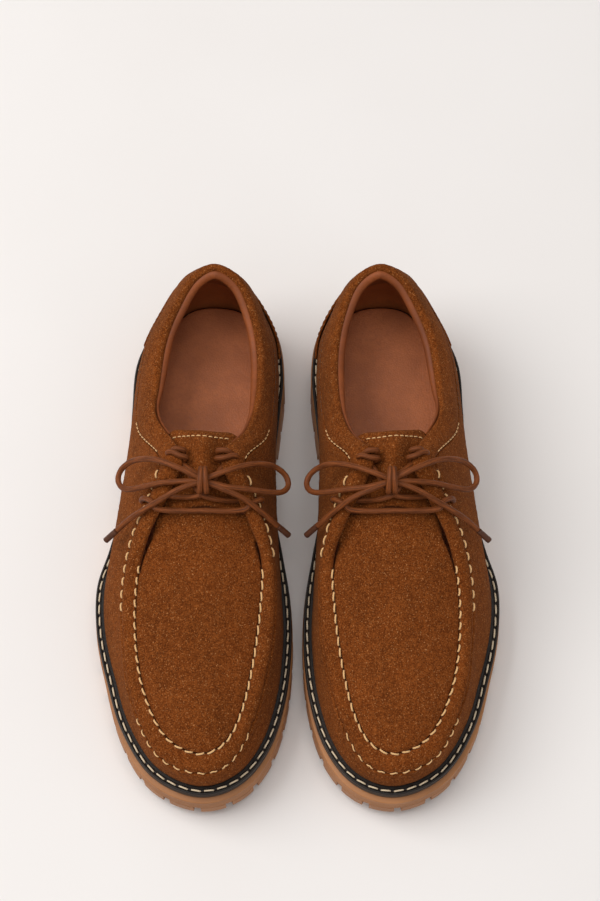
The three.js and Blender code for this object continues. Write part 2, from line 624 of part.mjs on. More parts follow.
const look = (color, roughness, metalness = 0) =>
  new THREE.MeshStandardMaterial({ color, roughness, metalness });
const GUM = look(0xb47a48, 0.6);
const BLACK = look(0x1c1613, 0.5);
const SUEDE = look(0x8a4a1c, 0.95);
const LINING_LEATHER = look(0xa5602c, 0.5);
const FOOTBED = look(0x78412d, 0.5);
const STIFFENER_BOARD = look(0xcdb892, 0.8);
const CORK = look(0xb8905c, 0.9);
const STEEL = look(0x9a9a9c, 0.35, 1);
const LACE_LEATHER = look(0x7a4428, 0.5);
const LACE_TIP = look(0x4a2818, 0.4);

const pieces = {
  outsole: [outsole, GUM],
  heel_lift: [heelLift, GUM],
  midsole: [midsole, BLACK],
  welt: [welt, BLACK],
  shank: [shank, STEEL],
  cork_filler: [filler, CORK],
  insole_board: [boardOf, STIFFENER_BOARD],
  sock_liner: [sockLiner, FOOTBED],
  vamp: [() => cut(vamp(), EYELET_ROOM), SUEDE],
  apron: [apron, SUEDE],
  moc_band: [() => cut(band(), EYELET_ROOM), SUEDE],
  quarter_outer: [quarterOuter, SUEDE],
  quarter_inner: [quarterInner, SUEDE],
  collar: [collar, SUEDE],
  heel_foxing: [foxing, SUEDE],
  toe_puff: [toePuff, STIFFENER_BOARD],
  heel_counter: [heelCounter, STIFFENER_BOARD],
  vamp_lining: [vampLining, LINING_LEATHER],
  apron_lining: [apronLining, LINING_LEATHER],
  quarter_lining: [quarterLining, LINING_LEATHER],
  collar_lining: [collarLining, LINING_LEATHER],
  tongue: [tongue, SUEDE],
  lace: [lace, LACE_LEATHER],
  aglet_outer: [() => aglet(TAILS[0]), LACE_TIP],
  aglet_inner: [() => aglet(TAILS[1]), LACE_TIP],
};

const pair = new THREE.Group();
for (const [side, sign] of [["left", 1], ["right", -1]]) {
  const shoe = new THREE.Group();
  shoe.position.x = (sign * SHOE_SPACING) / 2;
  shoe.scale.x = sign;
  for (const [name, [build, material]] of Object.entries(pieces)) {
    const mesh = new THREE.Mesh(geometryOf(build()), material.clone());
    mesh.name = `${side}_${name}`;
    shoe.add(mesh);
  }
  pair.add(shoe);
}

export default pair;
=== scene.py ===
import math

import bpy
import numpy as np
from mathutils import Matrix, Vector


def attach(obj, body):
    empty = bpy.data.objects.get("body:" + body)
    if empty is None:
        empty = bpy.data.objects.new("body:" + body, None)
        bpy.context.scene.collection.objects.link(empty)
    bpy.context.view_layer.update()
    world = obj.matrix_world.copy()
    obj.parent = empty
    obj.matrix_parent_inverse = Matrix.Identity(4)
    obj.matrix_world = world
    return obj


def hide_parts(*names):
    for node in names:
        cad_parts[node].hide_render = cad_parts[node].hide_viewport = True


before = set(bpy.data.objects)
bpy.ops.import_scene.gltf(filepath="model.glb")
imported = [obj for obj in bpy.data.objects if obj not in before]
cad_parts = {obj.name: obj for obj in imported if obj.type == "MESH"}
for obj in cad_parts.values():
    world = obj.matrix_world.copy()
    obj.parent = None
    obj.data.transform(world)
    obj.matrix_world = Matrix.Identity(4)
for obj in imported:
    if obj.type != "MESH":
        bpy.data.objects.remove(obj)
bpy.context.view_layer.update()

# Shapes are worked out in millimetres in one shoe's own frame: +X is the outer side
# of the foot, and heights are above the floor. place() turns them into metres in the pair's frame.
SHOE_OFFSET = 59.8
FEATHER_Z = 27.0  # feather line at the ball above the floor
ROUND = 26  # stations round the shoe, from the back of the heel by the outer side
TOE = 13
SEAM = 2 / 3  # height of the moccasin seam on the guides
LEATHER = 1.8
GAP = 0.3  # left between neighbouring pieces

STATIONS = [
    [(-10, 149.5, 9.5), (-11, 152.5, 25), (-12, 151, 43), (-13.2, 143.4, 68.4)],
    [(7.5, 145.5, 9.4), (7.5, 148.5, 24.5), (6.5, 147.2, 42.5), (1, 137.2, 65.3)],
    [(21.5, 130, 9), (21.7, 130.8, 23), (18.3, 129.8, 39.5), (11.6, 120.6, 59)],
    [(31.5, 107.5, 8.3), (32, 107.5, 21.5), (28, 107, 37), (18.8, 101, 53.6)],
    [(33.4, 78, 6.7), (35.8, 77, 21), (32.4, 76, 35.5), (21.6, 75, 52)],
    [(34.5, 48, 5), (37.9, 48.5, 21.5), (31, 48.5, 43.5), (20.8, 51, 58.3)],
    [(38.5, 16, 2.9), (40.6, 19.5, 23), (17, 21.5, 65.3), (4.3, 20.8, 71.8)],
    [(44.5, -9, 1.5), (43.6, -5, 22), (22, 3, 57.5), (11, 2.5, 64.5)],
    [(50.6, -31, 0.5), (46.2, -27, 18.5), (32.3, -18, 43.3), (22.8, -17, 51)],
    [(49.6, -57, 0), (45.8, -52, 14), (37.4, -43, 30.8), (29, -38, 38)],
    [(43.2, -84, 0.9), (41.5, -80, 11.3), (36.8, -72, 25), (30, -67, 30)],
    [(34, -112.5, 2.1), (33.4, -109.5, 11.3), (31.7, -102.8, 22.5), (25.3, -98, 27)],
    [(18, -137, 4.2), (17.8, -136.5, 12.3), (17, -133.8, 21), (13, -124.8, 26)],
    [(-5.2, -147.9, 5.5), (-5, -148, 13), (-5, -144.5, 21), (-4.8, -135.4, 26)],
    [(-26, -141.5, 4.7), (-25.5, -141.7, 12.5), (-23, -138.8, 21), (-19.5, -130.3, 26)],
    [(-40.6, -122, 2.8), (-39.5, -120.5, 11.5), (-35.5, -116.5, 22), (-29, -112.5, 26)],
    [(-48.8, -94, 1.3), (-47.6, -92, 11.5), (-43.2, -89, 24.2), (-35.5, -83.7, 28)],
    [(-51.8, -63, 0), (-50.9, -62, 13), (-47.2, -59, 28.5), (-39.3, -53.3, 33.5)],
    [(-50.8, -37, 0.3), (-50.4, -35.5, 16.5), (-46.8, -32, 37.5), (-39.9, -29, 41.8)],
    [(-46.8, -12, 1.5), (-48.9, -10.5, 21.5), (-41.3, -10, 51), (-32.5, -10.5, 55.3)],
    [(-42, 17, 3), (-47.5, 17, 24), (-31, 18.5, 65), (-17.8, 19.8, 71.8)],
    [(-41.5, 46, 4.9), (-47.2, 45, 23), (-42.5, 42.5, 49), (-31.8, 41, 62.3)],
    [(-44.4, 76, 6.6), (-48.2, 73, 20.5), (-45.8, 71, 36.5), (-38.8, 66, 54.5)],
    [(-46.5, 103, 8.1), (-48.8, 99, 20), (-46.2, 95.5, 34.8), (-39.8, 92.5, 51.8)],
    [(-42.5, 128, 8.9), (-44.5, 124, 22), (-42.3, 119.5, 36.8), (-36, 116, 55.8)],
    [(-29.5, 145, 9.4), (-30.6, 144.8, 24), (-31, 142, 40.3), (-27.6, 135.6, 62.6)],
]
GUIDES = np.array(STATIONS, dtype=float).transpose(1, 0, 2)
GUIDES[:, :, 2] += FEATHER_Z


# ---- Curves and the last ----
def spline(p0, p1, p2, p3, w):
    """A uniform Catmull-Rom span from p1 to p2."""
    w = w[..., None]
    t0, t1 = 0.5 * (p2 - p0), 0.5 * (p3 - p1)
    return p1 + t0 * w + (3 * (p2 - p1) - 2 * t0 - t1) * w**2 + (2 * (p1 - p2) + t0 + t1) * w**3


def along_guide(points, t):
    t = np.mod(t, ROUND)
    i = np.floor(t).astype(int)
    return spline(*(points[(i + k) % ROUND] for k in (-1, 0, 1, 2)), t - i)


def skin(t, v):
    """A point on the outside of the upper, from station t and height v (0 feather line, 1 top edge)."""
    t, v = np.broadcast_arrays(np.asarray(t, float), np.asarray(v, float))
    g = [along_guide(points, t) for points in GUIDES]
    ends = [2 * g[0] - g[1], *g, 2 * g[3] - g[2]]
    low = np.clip(v, 0, 1)
    i = np.clip(np.floor(low * 3), 0, 2).astype(int)
    spans = [spline(*ends[k : k + 4], low * 3 - k) for k in range(3)]
    p = np.where((i == 0)[..., None], spans[0], np.where((i == 1)[..., None], spans[1], spans[2]))
    return p + np.maximum(v - 1, 0)[..., None] * 3 * (g[3] - g[2])


def outward(t, v):
    t, v = np.broadcast_arrays(np.asarray(t, float), np.asarray(v, float))
    step = 0.01
    low = np.clip(v, step, 1 - step)
    along = skin(t + step, low) - skin(t - step, low)
    up = skin(t, low + step) - skin(t, low - step)
    n = -np.cross(along, up)
    n /= np.linalg.norm(n, axis=-1, keepdims=True)
    n[..., 2] *= smooth(v, 0, 0.12)
    return n / np.linalg.norm(n, axis=-1, keepdims=True)


def smooth(x, low, high):
    x = np.clip((np.asarray(x, float) - low) / (high - low), 0, 1)
    return x * x * (3 - 2 * x)


def raised(t, v, h):
    return skin(t, v) + outward(t, v) * np.asarray(h, float)[..., None]


def edge(t, out):
    """A point of the sole outline at station t, moved out from the feather line."""
    t = np.asarray(t, float)
    p = along_guide(GUIDES[0], t)
    d = along_guide(GUIDES[0], t + 0.01) - along_guide(GUIDES[0], t - 0.01)
    n = np.stack([-d[..., 1], d[..., 0], 0 * d[..., 0]], axis=-1)
    n /= np.linalg.norm(n, axis=-1, keepdims=True)
    return p + n * np.asarray(out, float)[..., None]


def run_along(points):
    """How far along a line of points each one lies."""
    return np.concatenate([[0], np.cumsum(np.linalg.norm(np.diff(points, axis=0), axis=1))])


def catmull(points, count):
    """Points spaced evenly along a smooth curve through the given ones."""
    p = np.array(points, float)
    ends = np.vstack([2 * p[0] - p[1], p, 2 * p[-1] - p[-2]])
    fine = []
    for k in range(len(p) - 1):
        a, b, c, d = ends[k : k + 4]
        chord = [max(np.linalg.norm(q - r) ** 0.5, 1e-6) for q, r in ((a, b), (b, c), (c, d))]
        m1 = (b - a) / chord[0] - (c - a) / (chord[0] + chord[1]) + (c - b) / chord[1]
        m2 = (c - b) / chord[1] - (d - b) / (chord[1] + chord[2]) + (d - c) / chord[2]
        m1, m2 = m1 * chord[1], m2 * chord[1]
        w = np.linspace(0, 1, 24, endpoint=False)[:, None]
        fine.append(b + m1 * w + (3 * (c - b) - 2 * m1 - m2) * w**2 + (2 * (b - c) + m1 + m2) * w**3)
    fine = np.vstack([*fine, p[-1:]])
    run = run_along(fine)
    s = np.linspace(0, run[-1], count)
    return np.stack([np.interp(s, run, fine[:, k]) for k in range(3)], axis=1)


# ---- Meshes ----
class Shape:
    """Corner points in millimetres and faces, joined from several closed bodies if need be."""

    def __init__(self):
        self.points = []
        self.faces = []
        self.grain = []

    def add(self, points, faces, grain=None):
        points = np.asarray(points, float)
        base = len(self.points)
        if volume(points, faces) < 0:
            faces = [tuple(reversed(f)) for f in faces]
        self.points.extend(points.tolist())
        self.faces.extend(tuple(base + i for i in f) for f in faces)
        if grain is not None:
            self.grain.extend(grain)
        return self


def volume(points, faces):
    p = np.asarray(points)
    tri = np.array([(f[0], f[k], f[k + 1]) for f in faces for k in range(1, len(f) - 1)])
    a, b, c = p[tri[:, 0]], p[tri[:, 1]], p[tri[:, 2]]
    return np.einsum("ij,ij->", a, np.cross(b, c))


def quads(rows, columns, ring_rows, ring_columns):
    faces = []
    for i in range(rows if ring_rows else rows - 1):
        for j in range(columns if ring_columns else columns - 1):
            k, m = (i + 1) % rows, (j + 1) % columns
            faces.append((i * columns + j, i * columns + m, k * columns + m, k * columns + j))
    return faces


def sweep(grid, ring=False):
    """A closed body from a grid of points: each row is a closed section, and the rows are joined in order."""
    rows, columns = grid.shape[:2]
    points = grid.reshape(-1, 3)
    faces = quads(rows, columns, ring, True)
    if not ring:
        first = points[:columns].mean(axis=0)
        last = points[-columns:].mean(axis=0)
        points = np.vstack([points, first, last])
        n = rows * columns
        for j in range(columns):
            k = (j + 1) % columns
            faces.append((j, n, k))
            faces.append((n - columns + j, n - columns + k, n + 1))
    return points, faces


def shell(outer, inner):
    """A closed body between two open grids of the same size."""
    rows, columns = outer.shape[:2]
    n = rows * columns
    points = np.vstack([outer.reshape(-1, 3), inner.reshape(-1, 3)])
    top = quads(rows, columns, False, False)
    faces = top + [tuple(n + i for i in reversed(f)) for f in top]
    rim = (
        [i * columns for i in range(rows)]
        + [(rows - 1) * columns + j for j in range(1, columns)]
        + [i * columns + columns - 1 for i in range(rows - 2, -1, -1)]
        + list(range(columns - 2, 0, -1))
    )
    for a, b in zip(rim, rim[1:] + rim[:1]):
        faces.append((a, b, n + b, n + a))
    return points, faces


def tube(points, radius, sides=14, taper=None, twist=None):
    """A closed tube along points, with the grain coordinates of its surface. twist winds two plies round it."""
    p = np.asarray(points, float)
    d = np.gradient(p, axis=0)
    d /= np.linalg.norm(d, axis=1, keepdims=True)
    side = np.cross(d[0], [0.3, 0.2, 1.0])
    side /= np.linalg.norm(side)
    run = run_along(p)
    angle = np.linspace(0, 2 * np.pi, sides, endpoint=False)
    grid, grain = [], []
    for i in range(len(p)):
        side = side - d[i] * side.dot(d[i])
        side /= np.linalg.norm(side)
        up = np.cross(d[i], side)
        r = radius * (1 if taper is None else taper(run[i], run[-1]))
        ply = 1 + (0.16 * np.cos(2 * angle - twist * run[i]) if twist else 0 * angle)[:, None]
        ring = p[i] + r * ply * (np.cos(angle)[:, None] * side + np.sin(angle)[:, None] * up)
        grid.append(ring)
        grain += [(math.cos(a), math.sin(a), run[i] * 0.12) for a in angle]
    points, faces = sweep(np.array(grid))
    grain += [(0, 0, 0), (0, 0, run[-1] * 0.12)]
    return points, faces, grain


def rounded(run, length, end=1.2):
    x = min(run, length - run) / end
    return max(0.25, math.sqrt(max(0.0, 1 - (1 - min(x, 1)) ** 2)))


def place(points, side):
    sign = 1 if side == "left" else -1
    p = np.asarray(points, float).reshape(-1, 3)
    return np.stack([sign * (SHOE_OFFSET + p[:, 0]), p[:, 1], p[:, 2]], axis=1) * 0.001


def build(side, name, shape, material, body=None, replaces=(), bevel=None):
    """Makes one shoe's object from a shape, mirrored for the right shoe."""
    faces = shape.faces if side == "left" else [tuple(reversed(f)) for f in shape.faces]
    mesh = bpy.data.meshes.new(f"{side}_{name}")
    mesh.from_pydata(place(shape.points, side).tolist(), [], faces)
    mesh.validate()
    if shape.grain:
        grain = mesh.attributes.new("grain", "FLOAT_VECTOR", "POINT")
        grain.data.foreach_set("vector", np.array(shape.grain, float).ravel())
    obj = bpy.data.objects.new(f"{side}_{name}", mesh)
    bpy.context.scene.collection.objects.link(obj)
    mesh.materials.append(material)
    mesh.shade_smooth()
    mesh.set_sharp_from_angle(angle=math.radians(60))
    if bevel:
        edges = obj.modifiers.new("soft_edges", "BEVEL")
        edges.width = bevel * 0.001
        edges.segments = 2
        edges.limit_method = "ANGLE"
        edges.angle_limit = math.radians(35)
        edges.harden_normals = True
    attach(obj, body or f"{side}_shoe")
    if replaces:
        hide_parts(*(f"{side}_{node}" for node in replaces))
    return obj


def piece(side, name, body, material, node):
    """One shoe's object, made of one closed body, in place of one CAD node."""
    return build(side, name, Shape().add(*body), material, replaces=[node])


# ---- Materials ----
class Look:
    """A principled material whose colour and relief come from procedural nodes."""

    def __init__(self, name, roughness, **sockets):
        self.material = bpy.data.materials.new(name)
        self.material.use_nodes = True
        self.tree = self.material.node_tree
        self.shader = self.tree.nodes["Principled BSDF"]
        self.shader.inputs["Roughness"].default_value = roughness
        for socket, value in sockets.items():
            self.shader.inputs[socket.replace("_", " ")].default_value = value
        self.where = self.tree.nodes.new("ShaderNodeTexCoord").outputs["Object"]
        self.relief = None

    def link(self, a, b):
        self.tree.links.new(a, b)
        return a

    def grain_coordinates(self):
        node = self.tree.nodes.new("ShaderNodeAttribute")
        node.attribute_name = "grain"
        self.where = node.outputs["Vector"]

    def stretched(self, x, y, z):
        node = self.tree.nodes.new("ShaderNodeMapping")
        node.inputs["Scale"].default_value = (x, y, z)
        self.link(self.where, node.inputs["Vector"])
        return node.outputs["Vector"]

    def noise(self, scale, detail=3.0, rough=0.55, vector=None, distortion=0.0):
        node = self.tree.nodes.new("ShaderNodeTexNoise")
        node.inputs["Scale"].default_value = scale
        node.inputs["Detail"].default_value = detail
        node.inputs["Roughness"].default_value = rough
        node.inputs["Distortion"].default_value = distortion
        self.link(vector or self.where, node.inputs["Vector"])
        return node.outputs["Fac"]

    def cells(self, scale, feature="F1", vector=None):
        node = self.tree.nodes.new("ShaderNodeTexVoronoi")
        node.feature = feature
        node.inputs["Scale"].default_value = scale
        self.link(vector or self.where, node.inputs["Vector"])
        return node.outputs["Distance"]

    def band(self, value, low, high, out_low=0.0, out_high=1.0):
        node = self.tree.nodes.new("ShaderNodeMapRange")
        node.clamp = True
        ends = {"From Min": low, "From Max": high, "To Min": out_low, "To Max": out_high}
        for socket, number in ends.items():
            node.inputs[socket].default_value = number
        self.link(value, node.inputs["Value"])
        return node.outputs["Result"]

    def mix(self, factor, a, b):
        node = self.tree.nodes.new("ShaderNodeMix")
        node.data_type = "RGBA"
        for socket, value in ((0, factor), (6, a), (7, b)):
            if isinstance(value, tuple):
                node.inputs[socket].default_value = (*value, 1)
            elif isinstance(value, float):
                node.inputs[socket].default_value = value
            else:
                self.link(value, node.inputs[socket])
        return node.outputs[2]

    def colour(self, value):
        self.link(value, self.shader.inputs["Base Color"])

    def rough(self, value):
        self.link(value, self.shader.inputs["Roughness"])

    def bump(self, height, strength, distance):
        node = self.tree.nodes.new("ShaderNodeBump")
        node.inputs["Strength"].default_value = strength
        node.inputs["Distance"].default_value = distance
        self.link(height, node.inputs["Height"])
        if self.relief:
            self.link(self.relief, node.inputs["Normal"])
        self.relief = node.outputs["Normal"]
        self.link(self.relief, self.shader.inputs["Normal"])


def suede(name, dark, middle, light, fleck):
    look = Look(name, 0.96, Specular_IOR_Level=0.05, Sheen_Weight=0.05, Sheen_Roughness=0.5)
    look.shader.inputs["Sheen Tint"].default_value = (1.0, 0.6, 0.3, 1)
    brushed = look.noise(1.0, 4.0, 0.6, look.stretched(42, 22, 42), 0.5)
    streaks = look.noise(1.0, 5.0, 0.7, look.stretched(420, 210, 420), 0.4)
    tufts = look.noise(340.0, 3.0, 0.6)
    nap = look.noise(1250.0, 2.0, 0.75)
    fibres = look.noise(1.0, 2.0, 0.6, look.stretched(2300, 1300, 2300), 0.8)
    specks = look.noise(1500.0, 1.0, 0.5, look.stretched(1, 0.8, 1))
    tone = look.mix(look.band(brushed, 0.28, 0.7, 0.25), dark, middle)
    tone = look.mix(look.band(streaks, 0.42, 0.78, 0.0, 0.5), tone, light)
    tone = look.mix(look.band(tufts, 0.5, 0.34, 0.0, 0.3), tone, dark)
    tone = look.mix(look.band(tufts, 0.52, 0.68, 0.0, 0.25), tone, light)
    tone = look.mix(look.band(nap, 0.5, 0.38, 0.0, 0.8), tone, dark)
    tone = look.mix(look.band(nap, 0.54, 0.68, 0.0, 0.8), tone, light)
    tone = look.mix(look.band(specks, 0.65, 0.73, 0.0, 0.65), tone, fleck)
    look.colour(tone)
    look.bump(streaks, 0.3, 0.0006)
    look.bump(tufts, 0.3, 0.0007)
    look.bump(nap, 0.6, 0.0005)
    look.bump(fibres, 0.4, 0.00015)
    return look.material


def smooth_leather(name, dark, light, roughness, pores, fold=0.25):
    look = Look(name, roughness, Specular_IOR_Level=0.3, Coat_Weight=0.04, Coat_Roughness=0.45)
    patch = look.noise(30.0, 4.0, 0.6)
    fine = look.noise(420.0, 4.0, 0.65)
    grain = look.cells(pores, "DISTANCE_TO_EDGE")
    tone = look.mix(look.band(patch, 0.32, 0.7), dark, light)
    tone = look.mix(look.band(fine, 0.55, 0.3, 0.0, 0.6), tone, dark)
    look.colour(look.mix(look.band(grain, 0.06, 0.0, 0.0, 0.3), tone, dark))
    look.rough(look.band(fine, 0.3, 0.7, roughness - 0.08, roughness + 0.12))
    look.bump(look.band(grain, 0.0, 0.18), fold, 0.00025)
    look.bump(fine, 0.3, 0.0003)
    return look.material


def rubber(name, dark, light, roughness):
    look = Look(name, roughness, Specular_IOR_Level=0.4)
    patch = look.noise(22.0, 3.0, 0.6)
    dust = look.noise(700.0, 4.0, 0.7)
    scuff = look.noise(1.0, 4.0, 0.6, look.stretched(60, 60, 420), 0.5)
    tone = look.mix(look.band(patch, 0.3, 0.7), dark, light)
    tone = look.mix(look.band(scuff, 0.5, 0.75, 0.0, 0.3), tone, light)
    look.colour(look.mix(look.band(dust, 0.5, 0.3, 0.0, 0.25), tone, dark))
    look.rough(look.band(dust, 0.3, 0.7, roughness - 0.1, roughness + 0.12))
    look.bump(dust, 0.25, 0.0002)
    look.bump(scuff, 0.15, 0.0003)
    return look.material


def thread(name, dark, light):
    look = Look(name, 0.62, Specular_IOR_Level=0.3, Sheen_Weight=0.2, Sheen_Roughness=0.4)
    look.grain_coordinates()
    wool = look.noise(3.0, 3.0, 0.6, look.stretched(1.5, 1.5, 60))
    look.colour(look.mix(look.band(wool, 0.3, 0.62), dark, light))
    look.bump(wool, 0.5, 0.0002)
    return look.material


def lace_leather(name, dark, light):
    look = Look(name, 0.5, Specular_IOR_Level=0.16, Coat_Weight=0.03, Coat_Roughness=0.4)
    look.grain_coordinates()
    crease = look.noise(2.4, 5.0, 0.62, look.stretched(1, 1, 0.35), 0.3)
    cracks = look.noise(5.5, 4.0, 0.6, look.stretched(1, 1, 1.4), 0.2)
    tone = look.mix(look.band(crease, 0.34, 0.66), dark, light)
    look.colour(look.mix(look.band(cracks, 0.46, 0.32, 0.0, 0.7), tone, dark))
    look.rough(look.band(cracks, 0.3, 0.7, 0.62, 0.4))
    look.bump(crease, 0.7, 0.0007)
    look.bump(cracks, 0.45, 0.0003)
    return look.material


def plain_grain(name, dark, light, roughness, scale, metal=0.0):
    look = Look(name, roughness, Metallic=metal)
    specks = look.noise(scale, 4.0, 0.7)
    look.colour(look.mix(look.band(specks, 0.35, 0.65), dark, light))
    look.bump(specks, 0.3, 0.0003)
    return look.material


SUEDE = suede("suede", (0.075, 0.018, 0.0032), (0.18, 0.0425, 0.0068), (0.3, 0.088, 0.018), (0.52, 0.24, 0.09))
LINING = smooth_leather("lining_leather", (0.16, 0.038, 0.008), (0.31, 0.078, 0.016), 0.55, 900.0)
# A lighter copy of the lining for the pieces deep inside the shoe: painted light that lifts their shade.
LIT_LINING = smooth_leather("lining_painted_light", (0.3, 0.082, 0.022), (0.46, 0.135, 0.036), 0.62, 900.0)
# The footbed's tan, raised well above its own colour: partly real tan, partly painted light that lifts the
# shade inside the shoe.
FOOTBED = smooth_leather("footbed_leather", (0.32, 0.094, 0.032), (0.5, 0.155, 0.054), 0.5, 620.0, 0.45)
WELT = smooth_leather("welt_leather", (0.006, 0.004, 0.003), (0.02, 0.014, 0.01), 0.42, 800.0)
MIDSOLE = rubber("midsole_edge", (0.028, 0.02, 0.015), (0.07, 0.052, 0.04), 0.55)
GUM = rubber("gum_rubber", (0.3, 0.12, 0.04), (0.44, 0.188, 0.066), 0.55)
CREAM = thread("cream_thread", (0.5, 0.25, 0.085), (0.9, 0.57, 0.26))
WELT_THREAD = thread("welt_thread", (0.46, 0.33, 0.19), (0.86, 0.72, 0.52))
TONAL = thread("brown_thread", (0.05, 0.018, 0.006), (0.16, 0.06, 0.02))
LACE = lace_leather("lace_leather", (0.085, 0.023, 0.006), (0.25, 0.068, 0.015))
LACE_TIP = smooth_leather("lace_tip", (0.045, 0.014, 0.005), (0.12, 0.037, 0.014), 0.4, 1500.0)
CORK = plain_grain("cork", (0.25, 0.13, 0.06), (0.5, 0.33, 0.18), 0.9, 260.0)
BOARD = plain_grain("insole_board", (0.33, 0.2, 0.1), (0.48, 0.32, 0.18), 0.8, 500.0)
STEEL = plain_grain("spring_steel", (0.42, 0.42, 0.43), (0.6, 0.6, 0.61), 0.35, 900.0, 1.0)
# Near-black brown for the dots at stitch and eyelet holes: painted shade inside the holes.
HOLE_SHADE = plain_grain("painted_hole_shade", (0.02, 0.006, 0.002), (0.05, 0.015, 0.004), 0.95, 900.0)


# ---- Camera, floor and light ----
CAMERA_TILT = math.radians(66)
CAMERA_AIM = Vector((0.0014, 0.06803, 0))
CAMERA_DISTANCE = 1.28368


def make_camera():
    camera = bpy.data.objects.new("camera", bpy.data.cameras.new("camera"))
    bpy.context.scene.collection.objects.link(camera)
    camera.data.lens = 85
    camera.data.sensor_width = 36
    away = Vector((0, -math.cos(CAMERA_TILT), math.sin(CAMERA_TILT)))
    camera.location = CAMERA_AIM + CAMERA_DISTANCE * away
    camera.rotation_euler = (math.pi / 2 - CAMERA_TILT, 0, 0)
    camera.data.clip_start = 0.01
    bpy.context.scene.camera = camera


def make_light(name, where, aim, size, power, tint):
    lamp = bpy.data.lights.new(name, "AREA")
    lamp.size = size
    lamp.energy = power
    lamp.color = tint
    obj = bpy.data.objects.new(name, lamp)
    bpy.context.scene.collection.objects.link(obj)
    obj.location = where
    obj.rotation_euler = (Vector(aim) - Vector(where)).to_track_quat("-Z", "Y").to_euler()


def make_stage():
    look = Look("paper_floor", 0.9, Specular_IOR_Level=0.1)
    cloud = look.noise(3.0, 3.0, 0.5)
    look.colour(look.mix(look.band(cloud, 0.3, 0.7), (0.82, 0.79, 0.77), (0.86, 0.835, 0.82)))
    look.bump(look.noise(500.0), 0.05, 0.0002)
    mesh = bpy.data.meshes.new("floor")
    mesh.from_pydata([(-3, -3, 0), (3, -3, 0), (3, 3, 0), (-3, 3, 0)], [], [(0, 1, 2, 3)])
    floor = bpy.data.objects.new("floor", mesh)
    mesh.materials.append(look.material)
    bpy.context.scene.collection.objects.link(floor)
    world = bpy.data.worlds.new("soft_room")
    bpy.context.scene.world = world
    world.use_nodes = True
    world.node_tree.nodes["Background"].inputs["Color"].default_value = (1.0, 0.985, 0.97, 1)
    world.node_tree.nodes["Background"].inputs["Strength"].default_value = 0.42
    make_light("key", (-1.4, 0.2, 1.9), (0, 0, 0), 1.7, 35, (1.0, 0.985, 0.97))
    make_light("above", (0.1, -0.15, 2.2), (0, 0, 0), 1.0, 10, (1.0, 0.99, 0.98))
    make_light("fill", (1.4, -1.0, 1.7), (0, 0, 0), 2.0, 4, (0.98, 0.98, 1.0))
    bpy.context.scene.view_settings.view_transform = "Standard"


make_camera()


# ---- Lace ----
LACE_SIZE = 3.2
DEPTH = 3.75  # middle of a lace under the facings
OVER = 3.65  # middle of a lace on top of the moccasin roll
TOP_OUTER, TOP_INNER = (5.95, 0.86), (20.06, 0.86)
LOW_OUTER, LOW_INNER = (7, 0.6), (19.42, 0.6)


def at(x, y, z):
    return np.array((x, y, z + FEATHER_Z), float)


KNOT = at(-8.1, 5.3, 75)
CROSSING = at(-7, -0.5, 68)
BAR = [
    raised(*LOW_OUTER, -DEPTH),
    raised(*LOW_OUTER, 0.9),
    raised(7.12, 0.68, OVER - 0.4),
    raised(7.25, 0.82, OVER),
    raised(7.4, 0.96, OVER - 0.4),
    at(-6.5, -8, 62.5),
    raised(19.2, 0.96, OVER - 0.4),
    raised(19.28, 0.82, OVER),
    raised(19.35, 0.68, OVER - 0.4),
    raised(*LOW_INNER, 0.9),
    raised(*LOW_INNER, -DEPTH),
]
OUTER_LOOP = [(5, 11, 77.4), (17, 17.3, 74), (27, 20.8, 67.5), (33.8, 21.9, 60.5), (39, 19.7, 55.1)]
OUTER_LOOP += [(40.9, 14.3, 52.5), (37.4, 8.6, 53.7), (28.4, 6.5, 60.1), (17, 6, 67.8), (5, 4.9, 73.2)]
INNER_LOOP = [(-20, 9.3, 76.9), (-31, 14.8, 72.6), (-41.5, 18.7, 65.5), (-49, 19, 58.6), (-54, 15.6, 54.2)]
INNER_LOOP += [(-55, 10.4, 53.3), (-51.6, 5.7, 56), (-44.5, 3.3, 61.6), (-33, 2, 68.8), (-21, 1.6, 73.2)]
OUTER_TAIL = [(5, 0.5, 73), (16, -4, 67.5), (33, -8.6, 52.5), (40.6, -12.3, 44.5)]
INNER_TAIL = [(-20, 0, 73), (-29, -2.7, 69), (-38, -6.5, 61.2), (-48.5, -11, 48)]
LOOPS = [[at(*p) for p in run] for run in (OUTER_LOOP, INNER_LOOP)]
TAILS = [[at(*p) for p in run] for run in (OUTER_TAIL, INNER_TAIL)]


def under_strand(low, top, toe):
    """From one low eyelet, under the facings and over the tongue, to the top eyelet opposite."""
    (t, v), (u, w) = low, top
    return [
        raised(t, v, 0),
        raised(t + 0.02 * toe, v + 0.02, -DEPTH),
        raised(t + 0.06 * toe, v + 0.2, -DEPTH),
        raised(t + 0.1 * toe, 0.99, -DEPTH),
        CROSSING,
        raised(u - 0.25 * toe, 1, -DEPTH),
        raised(u - 0.05 * toe, w + 0.03, -DEPTH),
    ]


def knot_strand(top, toe):
    """From under the facing at the top eyelet to the knot."""
    u = top[0]
    return [raised(u - 0.12 * toe, 0.9, -DEPTH), raised(u - 0.32 * toe, 1.03, -DEPTH + 0.6), KNOT]


